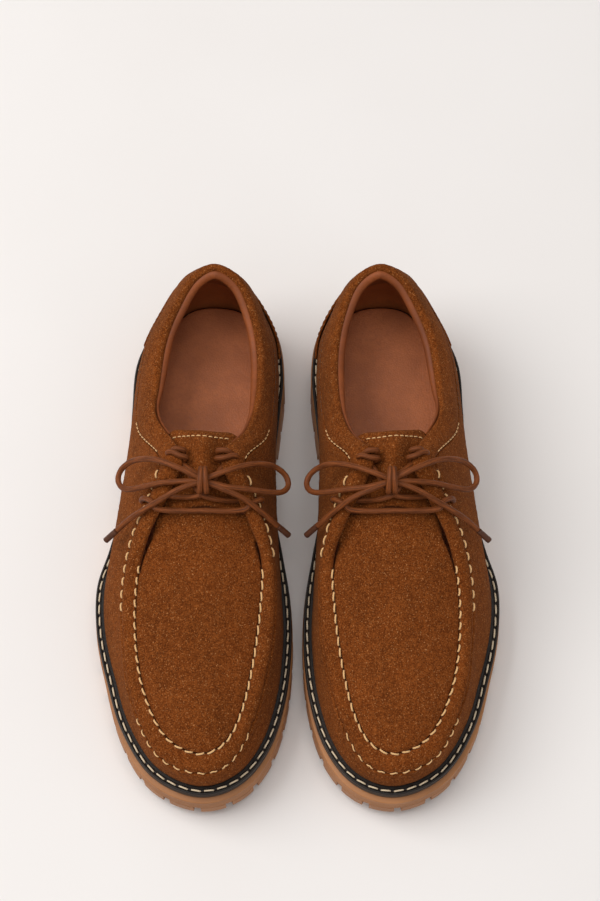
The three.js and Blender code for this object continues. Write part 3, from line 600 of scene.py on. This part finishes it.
def wrap_strands(top, toe):
    """The two turns that the lace takes round the edge of the facing at its top eyelet."""
    u = top[0]
    front = [(0.09, 0.97, -DEPTH), (0.1, 1.06, -0.9), (0.09, 1.01, 2.1), (0.06, 0.93, 3.0), (0.02, 0.86, 2.7)]
    front += [(0.0, 0.8, 1.2), (-0.01, 0.79, -1.5)]
    back = [(-0.08, 0.97, -DEPTH), (-0.09, 1.06, -0.9), (-0.09, 1.01, 1.9), (-0.08, 0.96, 2.5)]
    back += [(-0.06, 0.9, 1.6), (-0.05, 0.88, -0.8)]
    return [[raised(u - x * toe, v, h) for x, v, h in turn] for turn in (front, back)]


FREE_ENDS = {
    "outer_loop": [KNOT, *LOOPS[0], KNOT + (0, -1, -1), *TAILS[1]],
    "inner_loop": [KNOT, *LOOPS[1], KNOT + (0, -1, -1), *TAILS[0]],
}


def route(points, ease=0):
    """A smooth run through the points, with its bends eased."""
    run = catmull(points, max(8, int(path_length(catmull(points, 200)) / 0.9)))
    for _ in range(ease):
        run[1:-1] = (run[:-2] + 2 * run[1:-1] + run[2:]) / 4
    return run


def rolled_lace(shape, points):
    """A round leather lace, a little uneven along its length."""
    wobble = lambda run, total: 1 + 0.025 * math.sin(run * 0.9) + 0.02 * math.sin(run * 2.3 + 1)
    return shape.add(*tube(points, LACE_SIZE / 2, 18, wobble))


def path_length(points):
    return float(np.linalg.norm(np.diff(points, axis=0), axis=1).sum())


def make_aglet(side, name, tail, node):
    along = tail[-1] - tail[-2]
    along /= np.linalg.norm(along)
    points = [tail[-1] + along * s for s in np.linspace(0.3, 11.3, 16)]
    crimp = lambda run, total: rounded(run, total, 0.8) * (1 - 0.07 * math.exp(-(((run - 2.2) / 0.5) ** 2)))
    shape = Shape().add(*tube(points, 1.75, 18, crimp))
    return build(side, name, shape, LACE_TIP, replaces=[node])


def make_knot(side):
    shape = Shape()
    tilt = 0.4
    for shift, lean in ((-1.4, 0.5), (1.45, -0.3)):
        turn = []
        for a in np.linspace(-0.75, 1.75, 34) * math.pi:
            y, z = 6.3 * math.cos(a), 3.9 * math.sin(a)
            back = y * math.cos(tilt) - z * math.sin(tilt) - 0.4
            up = y * math.sin(tilt) + z * math.cos(tilt) - 0.1
            turn.append(KNOT + (shift + lean * math.cos(a), back, up))
        shape.add(*tube(turn, 1.65, 18))
    return build(side, "lace_knot", shape, LACE, replaces=["lace"])


def make_laces(side):
    knot = make_knot(side)
    tips = {
        "outer_loop": make_aglet(side, "inner_tip", TAILS[1], "aglet_inner"),
        "inner_loop": make_aglet(side, "outer_tip", TAILS[0], "aglet_outer"),
    }
    for name, points in FREE_ENDS.items():
        run = route(points, 16)
        obj = build(side, f"lace_{name}", rolled_lace(Shape(), run), LACE, replaces=["lace"])
    laced = Shape()
    rolled_lace(laced, route(BAR))
    for low, top, toe in ((LOW_OUTER, TOP_INNER, 1), (LOW_INNER, TOP_OUTER, -1)):
        for points in (under_strand(low, top, toe), knot_strand(top, toe), *wrap_strands(top, toe)):
            rolled_lace(laced, route(points))
    build(side, "lace_crossing", laced, LACE, replaces=["lace"])


SIDES = ("left", "right")
for side in SIDES:
    make_laces(side)
make_stage()


# ---- Sewing ----
class Line:
    """A line along the stations, with its length measured. at(t, aside, height) gives its points."""

    def __init__(self, at, t0, t1):
        self.at = at
        self.t = np.linspace(t0, t1, 1600)
        self.run = run_along(at(self.t, 0 * self.t, 0 * self.t))

    def station(self, s):
        return np.interp(s, self.run, self.t)

    def beat(self, t, pitch):
        """How far through a stitch each station is, 0 to 1."""
        return np.mod(np.interp(np.asarray(t, float), self.t, self.run) / pitch, 1)


def on_upper(v, height=0.0, down=0.0):
    """A line at height v up the upper. Sideways moves go up the upper."""
    level = v if callable(v) else (lambda t: v)
    return lambda t, aside, h: raised(t, level(t) + aside / 28, h + height) - (0, 0, down)


def stitches(line, pitch, length, radius, rise, tilt=0.0, start=0.0, end=None, skip=()):
    """Visible stitches of two-ply thread, one for each pitch, that dip into the leather at both ends, with dark
    pips at their ends as painted shade in the stitch holes.
    """
    shape, hole_shades = Shape(), Shape()
    count = int(((end or line.run[-1]) - start) / pitch)
    for k in range(count):
        middle = start + (k + 0.5) * pitch
        u = np.linspace(-1, 1, 11)
        s = middle + u * length / 2
        h = rise - (rise + 1.3 * radius) * np.abs(u) ** 3.5
        points = line.at(line.station(s), tilt * u, h)
        shape.add(*tube(points, radius, 10, lambda run, total: rounded(run, total, radius), twist=2.4 / radius))
        # Dark pips at both ends of each stitch: painted shade in the stitch holes.
        for end_u in (-1, 1):
            s = np.array([middle + end_u * (length / 2 + 0.1)])
            centre = line.at(line.station(s), np.array([tilt * end_u]), np.array([-0.15]))[0]
            hole_shades.add(*pip(centre, radius * 0.6))
    return shape, hole_shades


def pip(centre, radius):
    a = np.linspace(0, 2 * np.pi, 8, endpoint=False)
    rings = [
        centre + radius * np.stack([math.cos(b) * np.cos(a), math.cos(b) * np.sin(a), 0 * a + math.sin(b)], 1)
        for b in (-0.9, 0, 0.9)
    ]
    return sweep(np.array(rings))


def sew(side, name, parts, look=CREAM, body=None):
    threads, hole_shades = parts
    build(side, name, threads, look, body)
    # The dark pips at the stitch ends are painted hole shade.
    build(side, f"{name}_holes", hole_shades, HOLE_SHADE, body)


def joined(*rows):
    threads, hole_shades = Shape(), Shape()
    # The second part of each row holds its dark pips of painted hole shade.
    for part, dark in rows:
        for target, source in ((threads, part), (hole_shades, dark)):
            base = len(target.points)
            target.points += source.points
            target.grain += source.grain
            target.faces += [tuple(base + i for i in f) for f in source.faces]
    return threads, hole_shades


# ---- Bottom ----
WELT_THICK = 2.7
MIDSOLE_THICK = 3.2
WELT_TOP = -GAP
MIDSOLE_TOP = WELT_TOP - WELT_THICK - GAP
TREAD_TOP = MIDSOLE_TOP - MIDSOLE_THICK - GAP
LUG_PITCH, LUG_GAP, LUG_DEPTH = 18, 4, 13
TREAD_INSET = 18  # how far the middle blocks of the tread stay inside the outline
HEEL_TOP = 13.0
BREAST = 60.0
GROOVE_ROOF = 7.0
BASE_COUNT = 780
RING = np.linspace(0, ROUND, BASE_COUNT, endpoint=False)


def outsole_edge(t):
    lengthwise = np.cos(2 * np.pi * np.asarray(t, float) / ROUND)
    end = np.where(lengthwise > 0, 6.4, 7.9)
    return 4.9 + (end - 4.9) * lengthwise**4


def ground(y):
    toe = 8.5 * (np.maximum(-74 - y, 0) / 82) ** 2
    arch = smooth(y, 14, 34) * 10
    back = smooth(y, BREAST - 40, BREAST - 14)
    return toe + arch + (HEEL_TOP + GAP - arch) * back


def ring(out, height):
    """The outline moved out from the feather line. height(p) gives its heights."""
    p = edge(RING, out(RING) if callable(out) else out + 0 * RING)
    p[:, 2] = height(p)
    return p


def stacked(levels):
    """A closed body from outline rings given from the bottom up, closed across at both ends."""
    rows, count = len(levels), len(levels[0])
    faces = quads(rows, count, False, True)
    top = (rows - 1) * count
    for i in range(count // 2):
        a, b, c, d = i, i + 1, (count - i - 1) % count, (count - i) % count
        loop = [a, b, c, d] if i else [a, b, c]
        if b == c:
            loop = [a, b, d]
        faces.append(tuple(reversed(loop)))
        faces.append(tuple(top + k for k in loop))
    return np.vstack(levels), faces


def relative(height):
    return lambda p: p[:, 2] + height


def level(height):
    return lambda y: 0 * y + height


def between(grid, low, high):
    """A closed body over a grid of points, from low(y) up to high(y)."""
    top, bottom = grid.copy(), grid.copy()
    top[..., 2] = high(grid[..., 1])
    bottom[..., 2] = low(grid[..., 1])
    return shell(top, bottom)


def lug(t0, t1, low, high):
    """One block of the tread along the outline between two stations."""
    ts = np.linspace(t0, t1, 9)[:, None]
    across = np.linspace(0.12, -LUG_DEPTH, 4)[None, :]
    out = outsole_edge(ts) + across
    return between(edge(np.broadcast_to(ts, out.shape), out), low, high)


def lug_row(shape, t0, t1, low, high):
    line = Line(lambda t, aside, h: edge(t, outsole_edge(t)), t0, t1)
    count = round(line.run[-1] / LUG_PITCH)
    pitch = line.run[-1] / count
    for k in range(count):
        a, b = line.station(np.array([k * pitch + LUG_GAP / 2, (k + 1) * pitch - LUG_GAP / 2]))
        shape.add(*lug(a, b, low, high))


def tread_block(shape, y0, y1, low, high):
    """A block in the middle of the tread between two places along the shoe."""
    ts = np.linspace(0, TOE, 900)
    outer, inner = (edge(t, outsole_edge(t) - TREAD_INSET) for t in (ts, ROUND - ts))
    rows = []
    for y in np.linspace(y0, y1, 7):
        ends = []
        for line in (outer, inner):
            order = np.argsort(line[:, 1])
            ends.append(np.interp(y, line[order, 1], line[order, 0]))
        x = np.linspace(ends[0], ends[1], 5)
        rows.append(np.stack([x, 0 * x + y, 0 * x], axis=1))
    shape.add(*between(np.array(rows), low, high))


def make_outsole(side):
    shape = Shape()
    raised_by = lambda y: ground(y) + GROOVE_ROOF * (1 - smooth(y, -8, 8))
    low = lambda p: raised_by(p[:, 1])
    high = lambda p: p[:, 2] + TREAD_TOP
    levels = [
        ring(lambda t: outsole_edge(t) - 9, low),
        ring(lambda t: outsole_edge(t) - 0.8, low),
        ring(lambda t: outsole_edge(t) - 0.15, lambda p: low(p) + 0.3),
    ]
    ribs = 9
    for k in range(ribs * 2 + 1):
        share = k / (2 * ribs)
        cut = 0.22 if k % 2 and 2 < k < 2 * ribs - 2 else 0.0
        mix = lambda p, share=share: (low(p) + 0.9) * (1 - share) + (high(p) - 0.8) * share
        levels.append(ring(lambda t, cut=cut: outsole_edge(t) - cut, mix))
    levels += [
        ring(lambda t: outsole_edge(t) - 0.15, lambda p: high(p) - 0.3),
        ring(lambda t: outsole_edge(t) - 0.7, high),
        ring(lambda t: outsole_edge(t) - 9, high),
    ]
    shape.add(*stacked(levels))
    roof = lambda y: ground(y) + GROOVE_ROOF + 0.4
    lug_row(shape, 6.6, ROUND - 6.6, ground, roof)
    for y0, y1 in ((-8, -34), (-38, -70), (-74, -104), (-108, -126)):
        tread_block(shape, y0, y1, ground, roof)
    build(side, "lug_sole", shape, GUM, replaces=["outsole"], bevel=0.5)


def make_heel_lift(side):
    ts = np.linspace(0, 8, 2000)
    t_outer = float(np.interp(-BREAST, -edge(ts, outsole_edge(ts))[:, 1], ts))
    back = ROUND - ts
    t_inner = float(np.interp(-BREAST, -edge(back, outsole_edge(back))[:, 1], ts))
    s = np.linspace(0, 1, 90)[:, None]
    outer = edge(s * t_outer, outsole_edge(s * t_outer))
    inner = edge(ROUND - s * t_inner, outsole_edge(ROUND - s * t_inner))
    w = np.linspace(0, 1, 7)[None, :, None]
    flat, roof, base, top = (level(z) for z in (0, GROOVE_ROOF, GROOVE_ROOF - 0.4, HEEL_TOP))
    shape = Shape().add(*between((outer * (1 - w) + inner * w)[1:], base, top))
    lug_row(shape, -t_inner, t_outer, flat, roof)
    for y0, y1 in ((BREAST + 1, 98), (102, 132)):
        tread_block(shape, y0, y1, flat, roof)
    build(side, "heel_block", shape, GUM, replaces=["heel_lift"], bevel=0.5)


def make_midsole(side):
    low, high = MIDSOLE_TOP - MIDSOLE_THICK, MIDSOLE_TOP
    profile = [(-9, low), (4.1, low), (4.55, low + 0.25), (4.7, low + 0.8), (4.62, low + 1.5)]
    profile += [(4.7, high - 0.8), (4.55, high - 0.25), (4.1, high), (-9, high)]
    levels = [ring(out, relative(height)) for out, height in profile]
    piece(side, "midsole_layer", stacked(levels), MIDSOLE, "midsole")


STITCH_OUT = 2.45
WELT_PITCH = 7.2


def make_welt(side):
    high, low = WELT_TOP, WELT_TOP - WELT_THICK
    profile = [(-3.4, low), (-3.4, high), (1.0, high), (1.35, high + 0.05), (1.6, high - 0.35)]
    profile += [(2.0, high - 0.75), (2.9, high - 0.75), (3.3, high - 0.35), (3.55, high + 0.02)]
    profile += [(4.15, high), (4.5, high - 0.2), (4.6, high - 0.6)]
    profile += [(4.6, low + 0.5), (4.45, low + 0.1), (4.1, low)]
    ts = np.linspace(0, ROUND, 1200, endpoint=False)
    grid = np.stack([edge(ts, out + 0 * ts) + (0, 0, z) for out, z in profile], axis=1)
    piece(side, "welt_strip", sweep(grid, True), WELT, "welt")
    along = lambda t, aside, h: edge(t, STITCH_OUT + aside) + np.stack([0 * h, 0 * h, h + high - 0.55], axis=-1)
    line = Line(along, 0, ROUND)
    pitch = line.run[-1] / round(line.run[-1] / WELT_PITCH)
    sew(side, "welt_stitch", stitches(line, pitch, 5.9, 0.48, 0.7, 0.15), WELT_THREAD)


def make_footbed(side):
    base = 2 + GAP
    profile = [(-12, base), (-6.4, base), (-6.2, base + 0.4), (-6.2, base + 1.7), (-6.35, base + 2.2)]
    profile += [(-6.9, base + 2.42), (-7.8, base + 2.4), (-11, base + 2.15)]
    profile += [(-16, base + 1.95), (-22, base + 1.85)]
    levels = [ring(out, relative(height)) for out, height in profile]
    piece(side, "footbed", stacked(levels), FOOTBED, "sock_liner")


# ---- Upper ----
def ripple(points, size, seed):
    rng = np.random.default_rng(seed)
    waves = rng.normal(size=(9, 3)) * (2.2 / size)
    phase = rng.uniform(0, 2 * np.pi, 9)
    return np.sin(points @ waves.T + phase).sum(axis=-1) / 4


def spaced(t0, t1, step):
    near = np.array([0, 0.004, 0.012, 0.026, 0.045])
    inside = np.arange(t0 + 0.07, t1 - 0.06, step)
    return np.concatenate([t0 + near, inside, (t1 - near)[::-1]])


def pillow(top, low, reach, ends=True):
    """A closed body between two grids, with its edges rounded over a distance of reach. Without ends, its first
    and last rows stay square, to meet the next piece."""
    along = np.linalg.norm(np.diff(top, axis=0), axis=2)
    across = np.linalg.norm(np.diff(top, axis=1), axis=2)
    start = np.vstack([0 * along[:1], np.cumsum(along, axis=0)])
    left = np.hstack([0 * across[:, :1], np.cumsum(across, axis=1)])
    near = np.minimum(left, left[:, -1:] - left)
    if ends:
        near = np.minimum.reduce([near, start, start[-1:] - start])
    inside = 1 - np.clip(near / reach, 0, 1)
    dip = (0.92 * (1 - np.sqrt(1 - inside**2)))[..., None]
    middle = (top + low) / 2
    return shell(top + (middle - top) * dip, low + (middle - low) * dip)


def sheet(t0, t1, v0, v1, outside, inside, step=0.05, rows=28, reach=0.9, nap=0.05, seed=1, ends=True):
    """A piece of the upper as a closed body. outside and inside are stand-offs, or functions of t and w, the
    share of the way up the piece; v0 and v1 are heights, or functions of t."""
    value = lambda f, *a: f(*a) if callable(f) else f
    t = spaced(t0, t1, step)[:, None]
    w = (0.5 - 0.5 * np.cos(np.linspace(0, np.pi, rows)))[None, :]
    low, high = value(v0, t), value(v1, t)
    v = low + (high - low) * w
    t, v = np.broadcast_arrays(t, v)
    base, n = skin(t, v), outward(t, v)
    rough = 0.22 * ripple(base, 20, seed) + 0.07 * ripple(base, 5, seed + 1)
    rough = rough + nap * np.random.default_rng(seed).normal(size=t.shape)
    calm = smooth(w * (1 - w) * 4, 0, 0.25)
    top = base + n * (value(outside, t, w) + rough * calm + 0 * t)[..., None]
    bottom = base + n * (value(inside, t, w) + 0 * t)[..., None]
    return pillow(top, bottom, value(reach, t), ends)


SIDE_OUTER, SIDE_INNER = 5.3, 21.1
FLAP_OUTER, FLAP_INNER = 5.75, 20.25
SEAM_LINE = Line(on_upper(SEAM), 5, 21)
EDGE_LINE = Line(on_upper(1.0), 5, 21)
SEAM_PITCH = 7.2
EDGE_PITCH = 6.2


def toe_part(t):
    return smooth(t, 10.3, 11.2) * (1 - smooth(t, 14.8, 15.7))


def seam_height(t):
    """The moccasin seam, scalloped where its stitches pull in round the toe and down the facings."""
    t = np.asarray(t, float)
    scallop = 0.5 - np.abs(np.sin(np.pi * SEAM_LINE.beat(t, SEAM_PITCH)))
    facings = smooth(t, 6, 6.4) - smooth(t, 8.6, 9.6) + smooth(t, 16.4, 17.4) - smooth(t, 19.6, 20)
    return SEAM + scallop * (0.035 * toe_part(t) + 0.012 * facings)


def wall_outside(t, w):
    """The wall swells a little below the seam and draws in to it at each stitch."""
    pull = np.abs(np.sin(np.pi * SEAM_LINE.beat(t, SEAM_PITCH)))
    ridge = np.exp(-(((w - 0.93) / 0.045) ** 2)) * (0.35 + 0.25 * pull * toe_part(t))
    return ridge * smooth(t, 5.8, 7) * (1 - smooth(t, 19, 20.2))


def band_outside(t, w):
    """The rolled edge: a flattened roll, nipped at the stitches of both its seams."""
    seam = np.abs(np.sin(np.pi * SEAM_LINE.beat(t, SEAM_PITCH)))
    rim = np.abs(np.sin(np.pi * EDGE_LINE.beat(t, EDGE_PITCH)))
    roll = np.clip(np.sin(np.pi * w), 0, 1) ** 0.55
    nip = 0.30 * (1 - seam) * np.exp(-((w / 0.16) ** 2)) * toe_part(t)
    sewn = smooth(t, 8.7, 9.5) * (1 - smooth(t, 16.8, 17.6))
    nip = nip + 0.22 * (1 - rim) * np.exp(-(((1 - w) / 0.14) ** 2)) * sewn
    front = smooth(t, FLAP_OUTER, 6.5) * (1 - smooth(t, 19.5, FLAP_INNER))
    return 1.65 * roll * (1 - nip) * front + 1.1 * np.sin(np.pi * w) * (1 - front)


def make_walls(side):
    top = lambda t: seam_height(t) - 0.004
    body = sheet(SIDE_OUTER, SIDE_INNER, 0, top, wall_outside, -LEATHER, ends=False)
    piece(side, "wall_front", body, SUEDE, "vamp")
    body = sheet(0, SIDE_OUTER, 0, SEAM - 0.004, 0, -LEATHER, ends=False)
    piece(side, "wall_outer", body, SUEDE, "quarter_outer")
    body = sheet(SIDE_INNER, ROUND, 0, SEAM - 0.004, 0, -LEATHER, ends=False)
    piece(side, "wall_inner", body, SUEDE, "quarter_inner")


def make_band(side):
    low = lambda t: seam_height(t) + 0.004
    body = sheet(FLAP_OUTER, FLAP_INNER, low, 1, band_outside, -LEATHER, 0.04, 26, 1.3, ends=False)
    piece(side, "rolled_band", body, SUEDE, "moc_band")
    # Dark pips along each top eyelet: painted shade inside the punched slit.
    slit_shades = Shape()
    for (u, _), toe in ((TOP_INNER, 1), (TOP_OUTER, -1)):
        for x in np.linspace(-0.06, 0.03, 5):
            slit_shades.add(*pip(raised(u - x * toe, 0.885 + 0.4 * x, 0.75), 1.0))
    build(side, "eyelet_slit_shade", slit_shades, HOLE_SHADE)


PADDING = 2.8
LINING_DEPTH = 3.4  # from the outside of the upper in to its lining
LINING_THICK = 1.1


def swell(t):
    """How much padding there is round the collar: none at the flaps, full behind them."""
    return smooth(np.minimum(t - FLAP_INNER, ROUND + FLAP_OUTER - t), 0.3, 2.4)


def make_collar(side):
    inside = lambda t, w: -LEATHER - PADDING * smooth(w, 0, 0.4) * swell(t)
    outside = lambda t, w: (1.1 + 0.2 * swell(t)) * np.sin(np.pi * w)
    reach = lambda t: 1.3 + 1.1 * swell(t)
    start, end = FLAP_INNER, ROUND + FLAP_OUTER
    body = sheet(start, end, SEAM + 0.004, 1, outside, inside, 0.05, 30, reach, ends=False)
    collar = piece(side, "padded_collar", body, SUEDE, "collar")
    rows = [
        stitches(Line(on_upper(SEAM + 0.022, 0.45), t0, t1), 3.6, 2.3, 0.3, 0.22)
        for t0, t1 in ((4.75, 5.9), (20.1, 21.25))
    ]
    sew(side, "collar_stitch", joined(*rows))
    line = Line(on_upper(SEAM - 0.03, 0.1), 21.6, 30.4)
    sew(side, "collar_seam", stitches(line, 3.4, 2.4, 0.2, 0.05), TONAL)


def make_foxing(side):
    top = lambda t: 0.6 - 0.34 * (t / 2.7) ** 2
    body = sheet(-2.7, 2.7, 0.02, top, 2.0, 0.6, 0.05, 24, 0.9, seed=13)
    piece(side, "heel_overlay", body, SUEDE, "heel_foxing")
    line = Line(on_upper(lambda t: top(t) - 0.055, 2.0), -2.45, 2.45)
    sew(side, "heel_stitch", stitches(line, 3.6, 2.5, 0.24, 0.1), TONAL)


def make_linings(side):
    back = lambda t: np.minimum(-LEATHER - PADDING * swell(t) - GAP, -LINING_DEPTH)
    deep = lambda t, w: back(t) + 1.5 * smooth(w, 0.72, 0.95) * swell(t)
    inner = lambda t, w: back(t) - 1.2 - 2.3 * np.exp(-(((w - 0.9) / 0.17) ** 2)) * swell(t)
    faces = (-LINING_DEPTH, -LINING_DEPTH - LINING_THICK)
    start, end = FLAP_INNER + 0.35, ROUND + FLAP_OUTER - 0.35
    body = sheet(start, end, SEAM - 0.03, 0.995, deep, inner, 0.05, 34, 1.7, 0.0, 15)
    piece(side, "topline_lining", body, LINING, "collar_lining")
    start, end = SIDE_INNER, ROUND + SIDE_OUTER
    body = sheet(start, end, 0.02, SEAM - 0.05, *faces, 0.08, 20, 0.5, 0.0, 17)
    piece(side, "heel_lining", body, LIT_LINING, "quarter_lining")
    body = sheet(SIDE_OUTER, SIDE_INNER, 0.02, 0.5, *faces, 0.1, 16, 0.5, 0.0, 19)
    piece(side, "front_lining", body, LIT_LINING, "vamp_lining")


# ---- Apron and tongue ----
# From the throat to the tip of the tongue: outer and inner station, drop, reach under the facings and crown.
THROAT = [(8.7, 17.87, 0.16, -0.03, 8.8), (8.4, 18.1, 0.4, -0.03, 8.8), (8.1, 18.35, 0.72, 0, 8.8)]
THROAT += [(7.8, 18.7, 1, 0.08, 8.8), (7.5, 19.1, 1, 0.13, 8.6), (7.15, 19.35, 1.06, 0.1, 8)]
THROAT += [(6.6, 19.6, 1.06, 0.12, 6.5), (6.05, 19.95, 1, 0.15, 5.5), (5.75, 20.25, 0.95, 0.14, 8)]
THROAT += [(5.4, 20.65, 0.8, 0.14, 8.5)]
HINGE = 4
TONGUE_DROP = 6.05
ACROSS = 41


def throat_row(row, below):
    outer, inner, drop, reach, crown = row
    depth = drop * TONGUE_DROP + below
    ends = [raised(t, 1, -depth) for t in (outer, inner)]
    sides = [raised(t, 1 - reach, -depth) for t in (outer, inner)]
    middle = (ends[0] + ends[1]) / 2 + (0, 0, crown)
    points = [sides[0], ends[0], middle, ends[1], sides[1]] if reach > 0.05 else [sides[0], middle, sides[1]]
    return catmull(points, ACROSS)


def rim(t, drop):
    inward = skin(t, 1.0) - skin(t, 0.98)
    inward /= np.linalg.norm(inward)
    nip = 0.35 * (1 - abs(math.sin(math.pi * float(EDGE_LINE.beat(t, EDGE_PITCH)))))
    sewn = float(smooth(t, 8.8, 9.4) * (1 - smooth(t, 16.6, 17.4)))
    return raised(t, 1.0, -drop - nip * sewn) + inward * 0.45


def apron_row(t, below):
    inner = float(np.interp(t, (9, 9.25, 9.5, 13), (17.63, 17, 16.5, 13)))
    a, b = rim(t, below), rim(inner, below)
    s = 0.5 - 0.5 * np.cos(np.linspace(0, np.pi, ACROSS))[:, None]
    width = np.linalg.norm(a - b)
    lift = 0.13 * width * (1 - (2 * s - 1) ** 2)
    edge_soft = 0.5 * (1 - np.exp(-((np.minimum(s, 1 - s) * width / 2.2) ** 2)))
    return a + (b - a) * s + np.hstack([0 * s, 0 * s, lift + edge_soft])


def lengthwise(rows, parts):
    """Rows joined by a smooth curve along the shoe, with some extra rows between each two."""
    rows = np.array(rows)
    ends = np.concatenate([[2 * rows[0] - rows[1]], rows, [2 * rows[-1] - rows[-2]]])
    made = []
    for k in range(len(rows) - 1):
        for w in np.linspace(0, 1, parts, endpoint=False):
            made.append(spline(*ends[k : k + 4], np.array(w)))
    return np.array(made + [rows[-1]])


def apron_grid(below):
    throat = [throat_row(row, below) for row in THROAT[: HINGE + 1][::-1]]
    front = 9 + 4 * np.sin(np.linspace(0, np.pi / 2, 80)[1:-1])
    rows = [apron_row(t, below) for t in [9.0, *front]]
    first = lengthwise(throat + [rows[0], rows[1]], 8)
    return np.concatenate([first[: 8 * len(throat)], rows])


def make_apron(side):
    top, low = apron_grid(0), apron_grid(LEATHER)
    rough = 0.22 * ripple(top, 24, 21) + 0.05 * ripple(top, 5, 22)
    rough = rough + 0.04 * np.random.default_rng(23).normal(size=rough.shape)
    s = np.linspace(0, 1, ACROSS)
    top[..., 2] += rough * smooth(s * (1 - s) * 4, 0, 0.4)
    piece(side, "apron_panel", pillow(top, low, 1.0), SUEDE, "apron")
    lining = shell(apron_grid(LEATHER + GAP), apron_grid(LEATHER + GAP + LINING_THICK))
    piece(side, "apron_backing", lining, LIT_LINING, "apron_lining")


def make_tongue(side):
    body = f"{side}_tongue_body"
    top, low = (lengthwise([throat_row(row, below) for row in THROAT[HINGE:]], 10) for below in (0, 2.4))
    across = np.linspace(-1, 1, ACROSS)
    tip = 6.5 * across**2 - 4.5 * across**8 + 1.6 * across
    for grid in (top, low):
        grid[:, :, 1] += 0.7
        left = np.linalg.norm(grid[-1] - grid, axis=2)[:, ACROSS // 2]
        for i in range(len(grid)):
            corner = 1 - min(left[i] / 6.0, 1)
            squeeze = 1 - 0.08 * (1 - math.sqrt(1 - corner**2))
            grid[i] = grid[i, ACROSS // 2] + (grid[i] - grid[i, ACROSS // 2]) * squeeze
            grid[i, :, 1] += smooth(-left[i], -16, 0) * tip
    top[..., 2] += 0.15 * ripple(top, 18, 31) + 0.05 * np.random.default_rng(32).normal(size=top.shape[:2])
    build(side, "tongue_flap", Shape().add(*pillow(top, low, 1.6)), SUEDE, body, ["tongue"])
    row = top[-5]
    run = run_along(row)
    over = lambda t, aside, h: np.stack(
        [np.interp(t, run, row[:, k]) + (h + 0.1 if k == 2 else 0) + 0 * t for k in range(3)], axis=-1
    )
    line = Line(over, run[3], run[-4])
    sew(side, "tongue_stitch", stitches(line, 3.5, 2.3, 0.33, 0.3), body=body)


def make_moccasin_stitch(side):
    rim_line = on_upper(1.004, 0.25)
    line = Line(rim_line, 8.72, 17.8)
    pitch = line.run[-1] / round(line.run[-1] / EDGE_PITCH)
    sew(side, "apron_stitch", stitches(line, pitch, 4.9, 0.52, 0.5, 0.4))
    rows = []
    for t0, t1, size in ((6.1, 9.55, 0.54), (11.2, 14.9, 0.38), (18.05, 19.9, 0.54)):
        line = Line(on_upper(seam_height, 0.45 if size > 0.5 else 0.35), t0, t1)
        start = (-np.interp(t0, SEAM_LINE.t, SEAM_LINE.run)) % SEAM_PITCH
        rows.append(stitches(line, SEAM_PITCH, 5.4 if size > 0.5 else 4.6, size, 0.5, 0.2, start))
    sew(side, "band_stitch", joined(*rows))


# ---- Everything made, and the pieces that keep their CAD shape ----
MAKERS = [make_outsole, make_heel_lift, make_midsole, make_welt, make_footbed, make_walls, make_band]
MAKERS += [make_collar, make_foxing, make_linings, make_apron, make_tongue, make_moccasin_stitch]
KEPT = {"shank": STEEL, "cork_filler": CORK, "insole_board": BOARD, "toe_puff": BOARD, "heel_counter": BOARD}
for side in SIDES:
    for make in MAKERS:
        make(side)
    for node, material in KEPT.items():
        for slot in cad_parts[f"{side}_{node}"].material_slots:
            slot.material = material
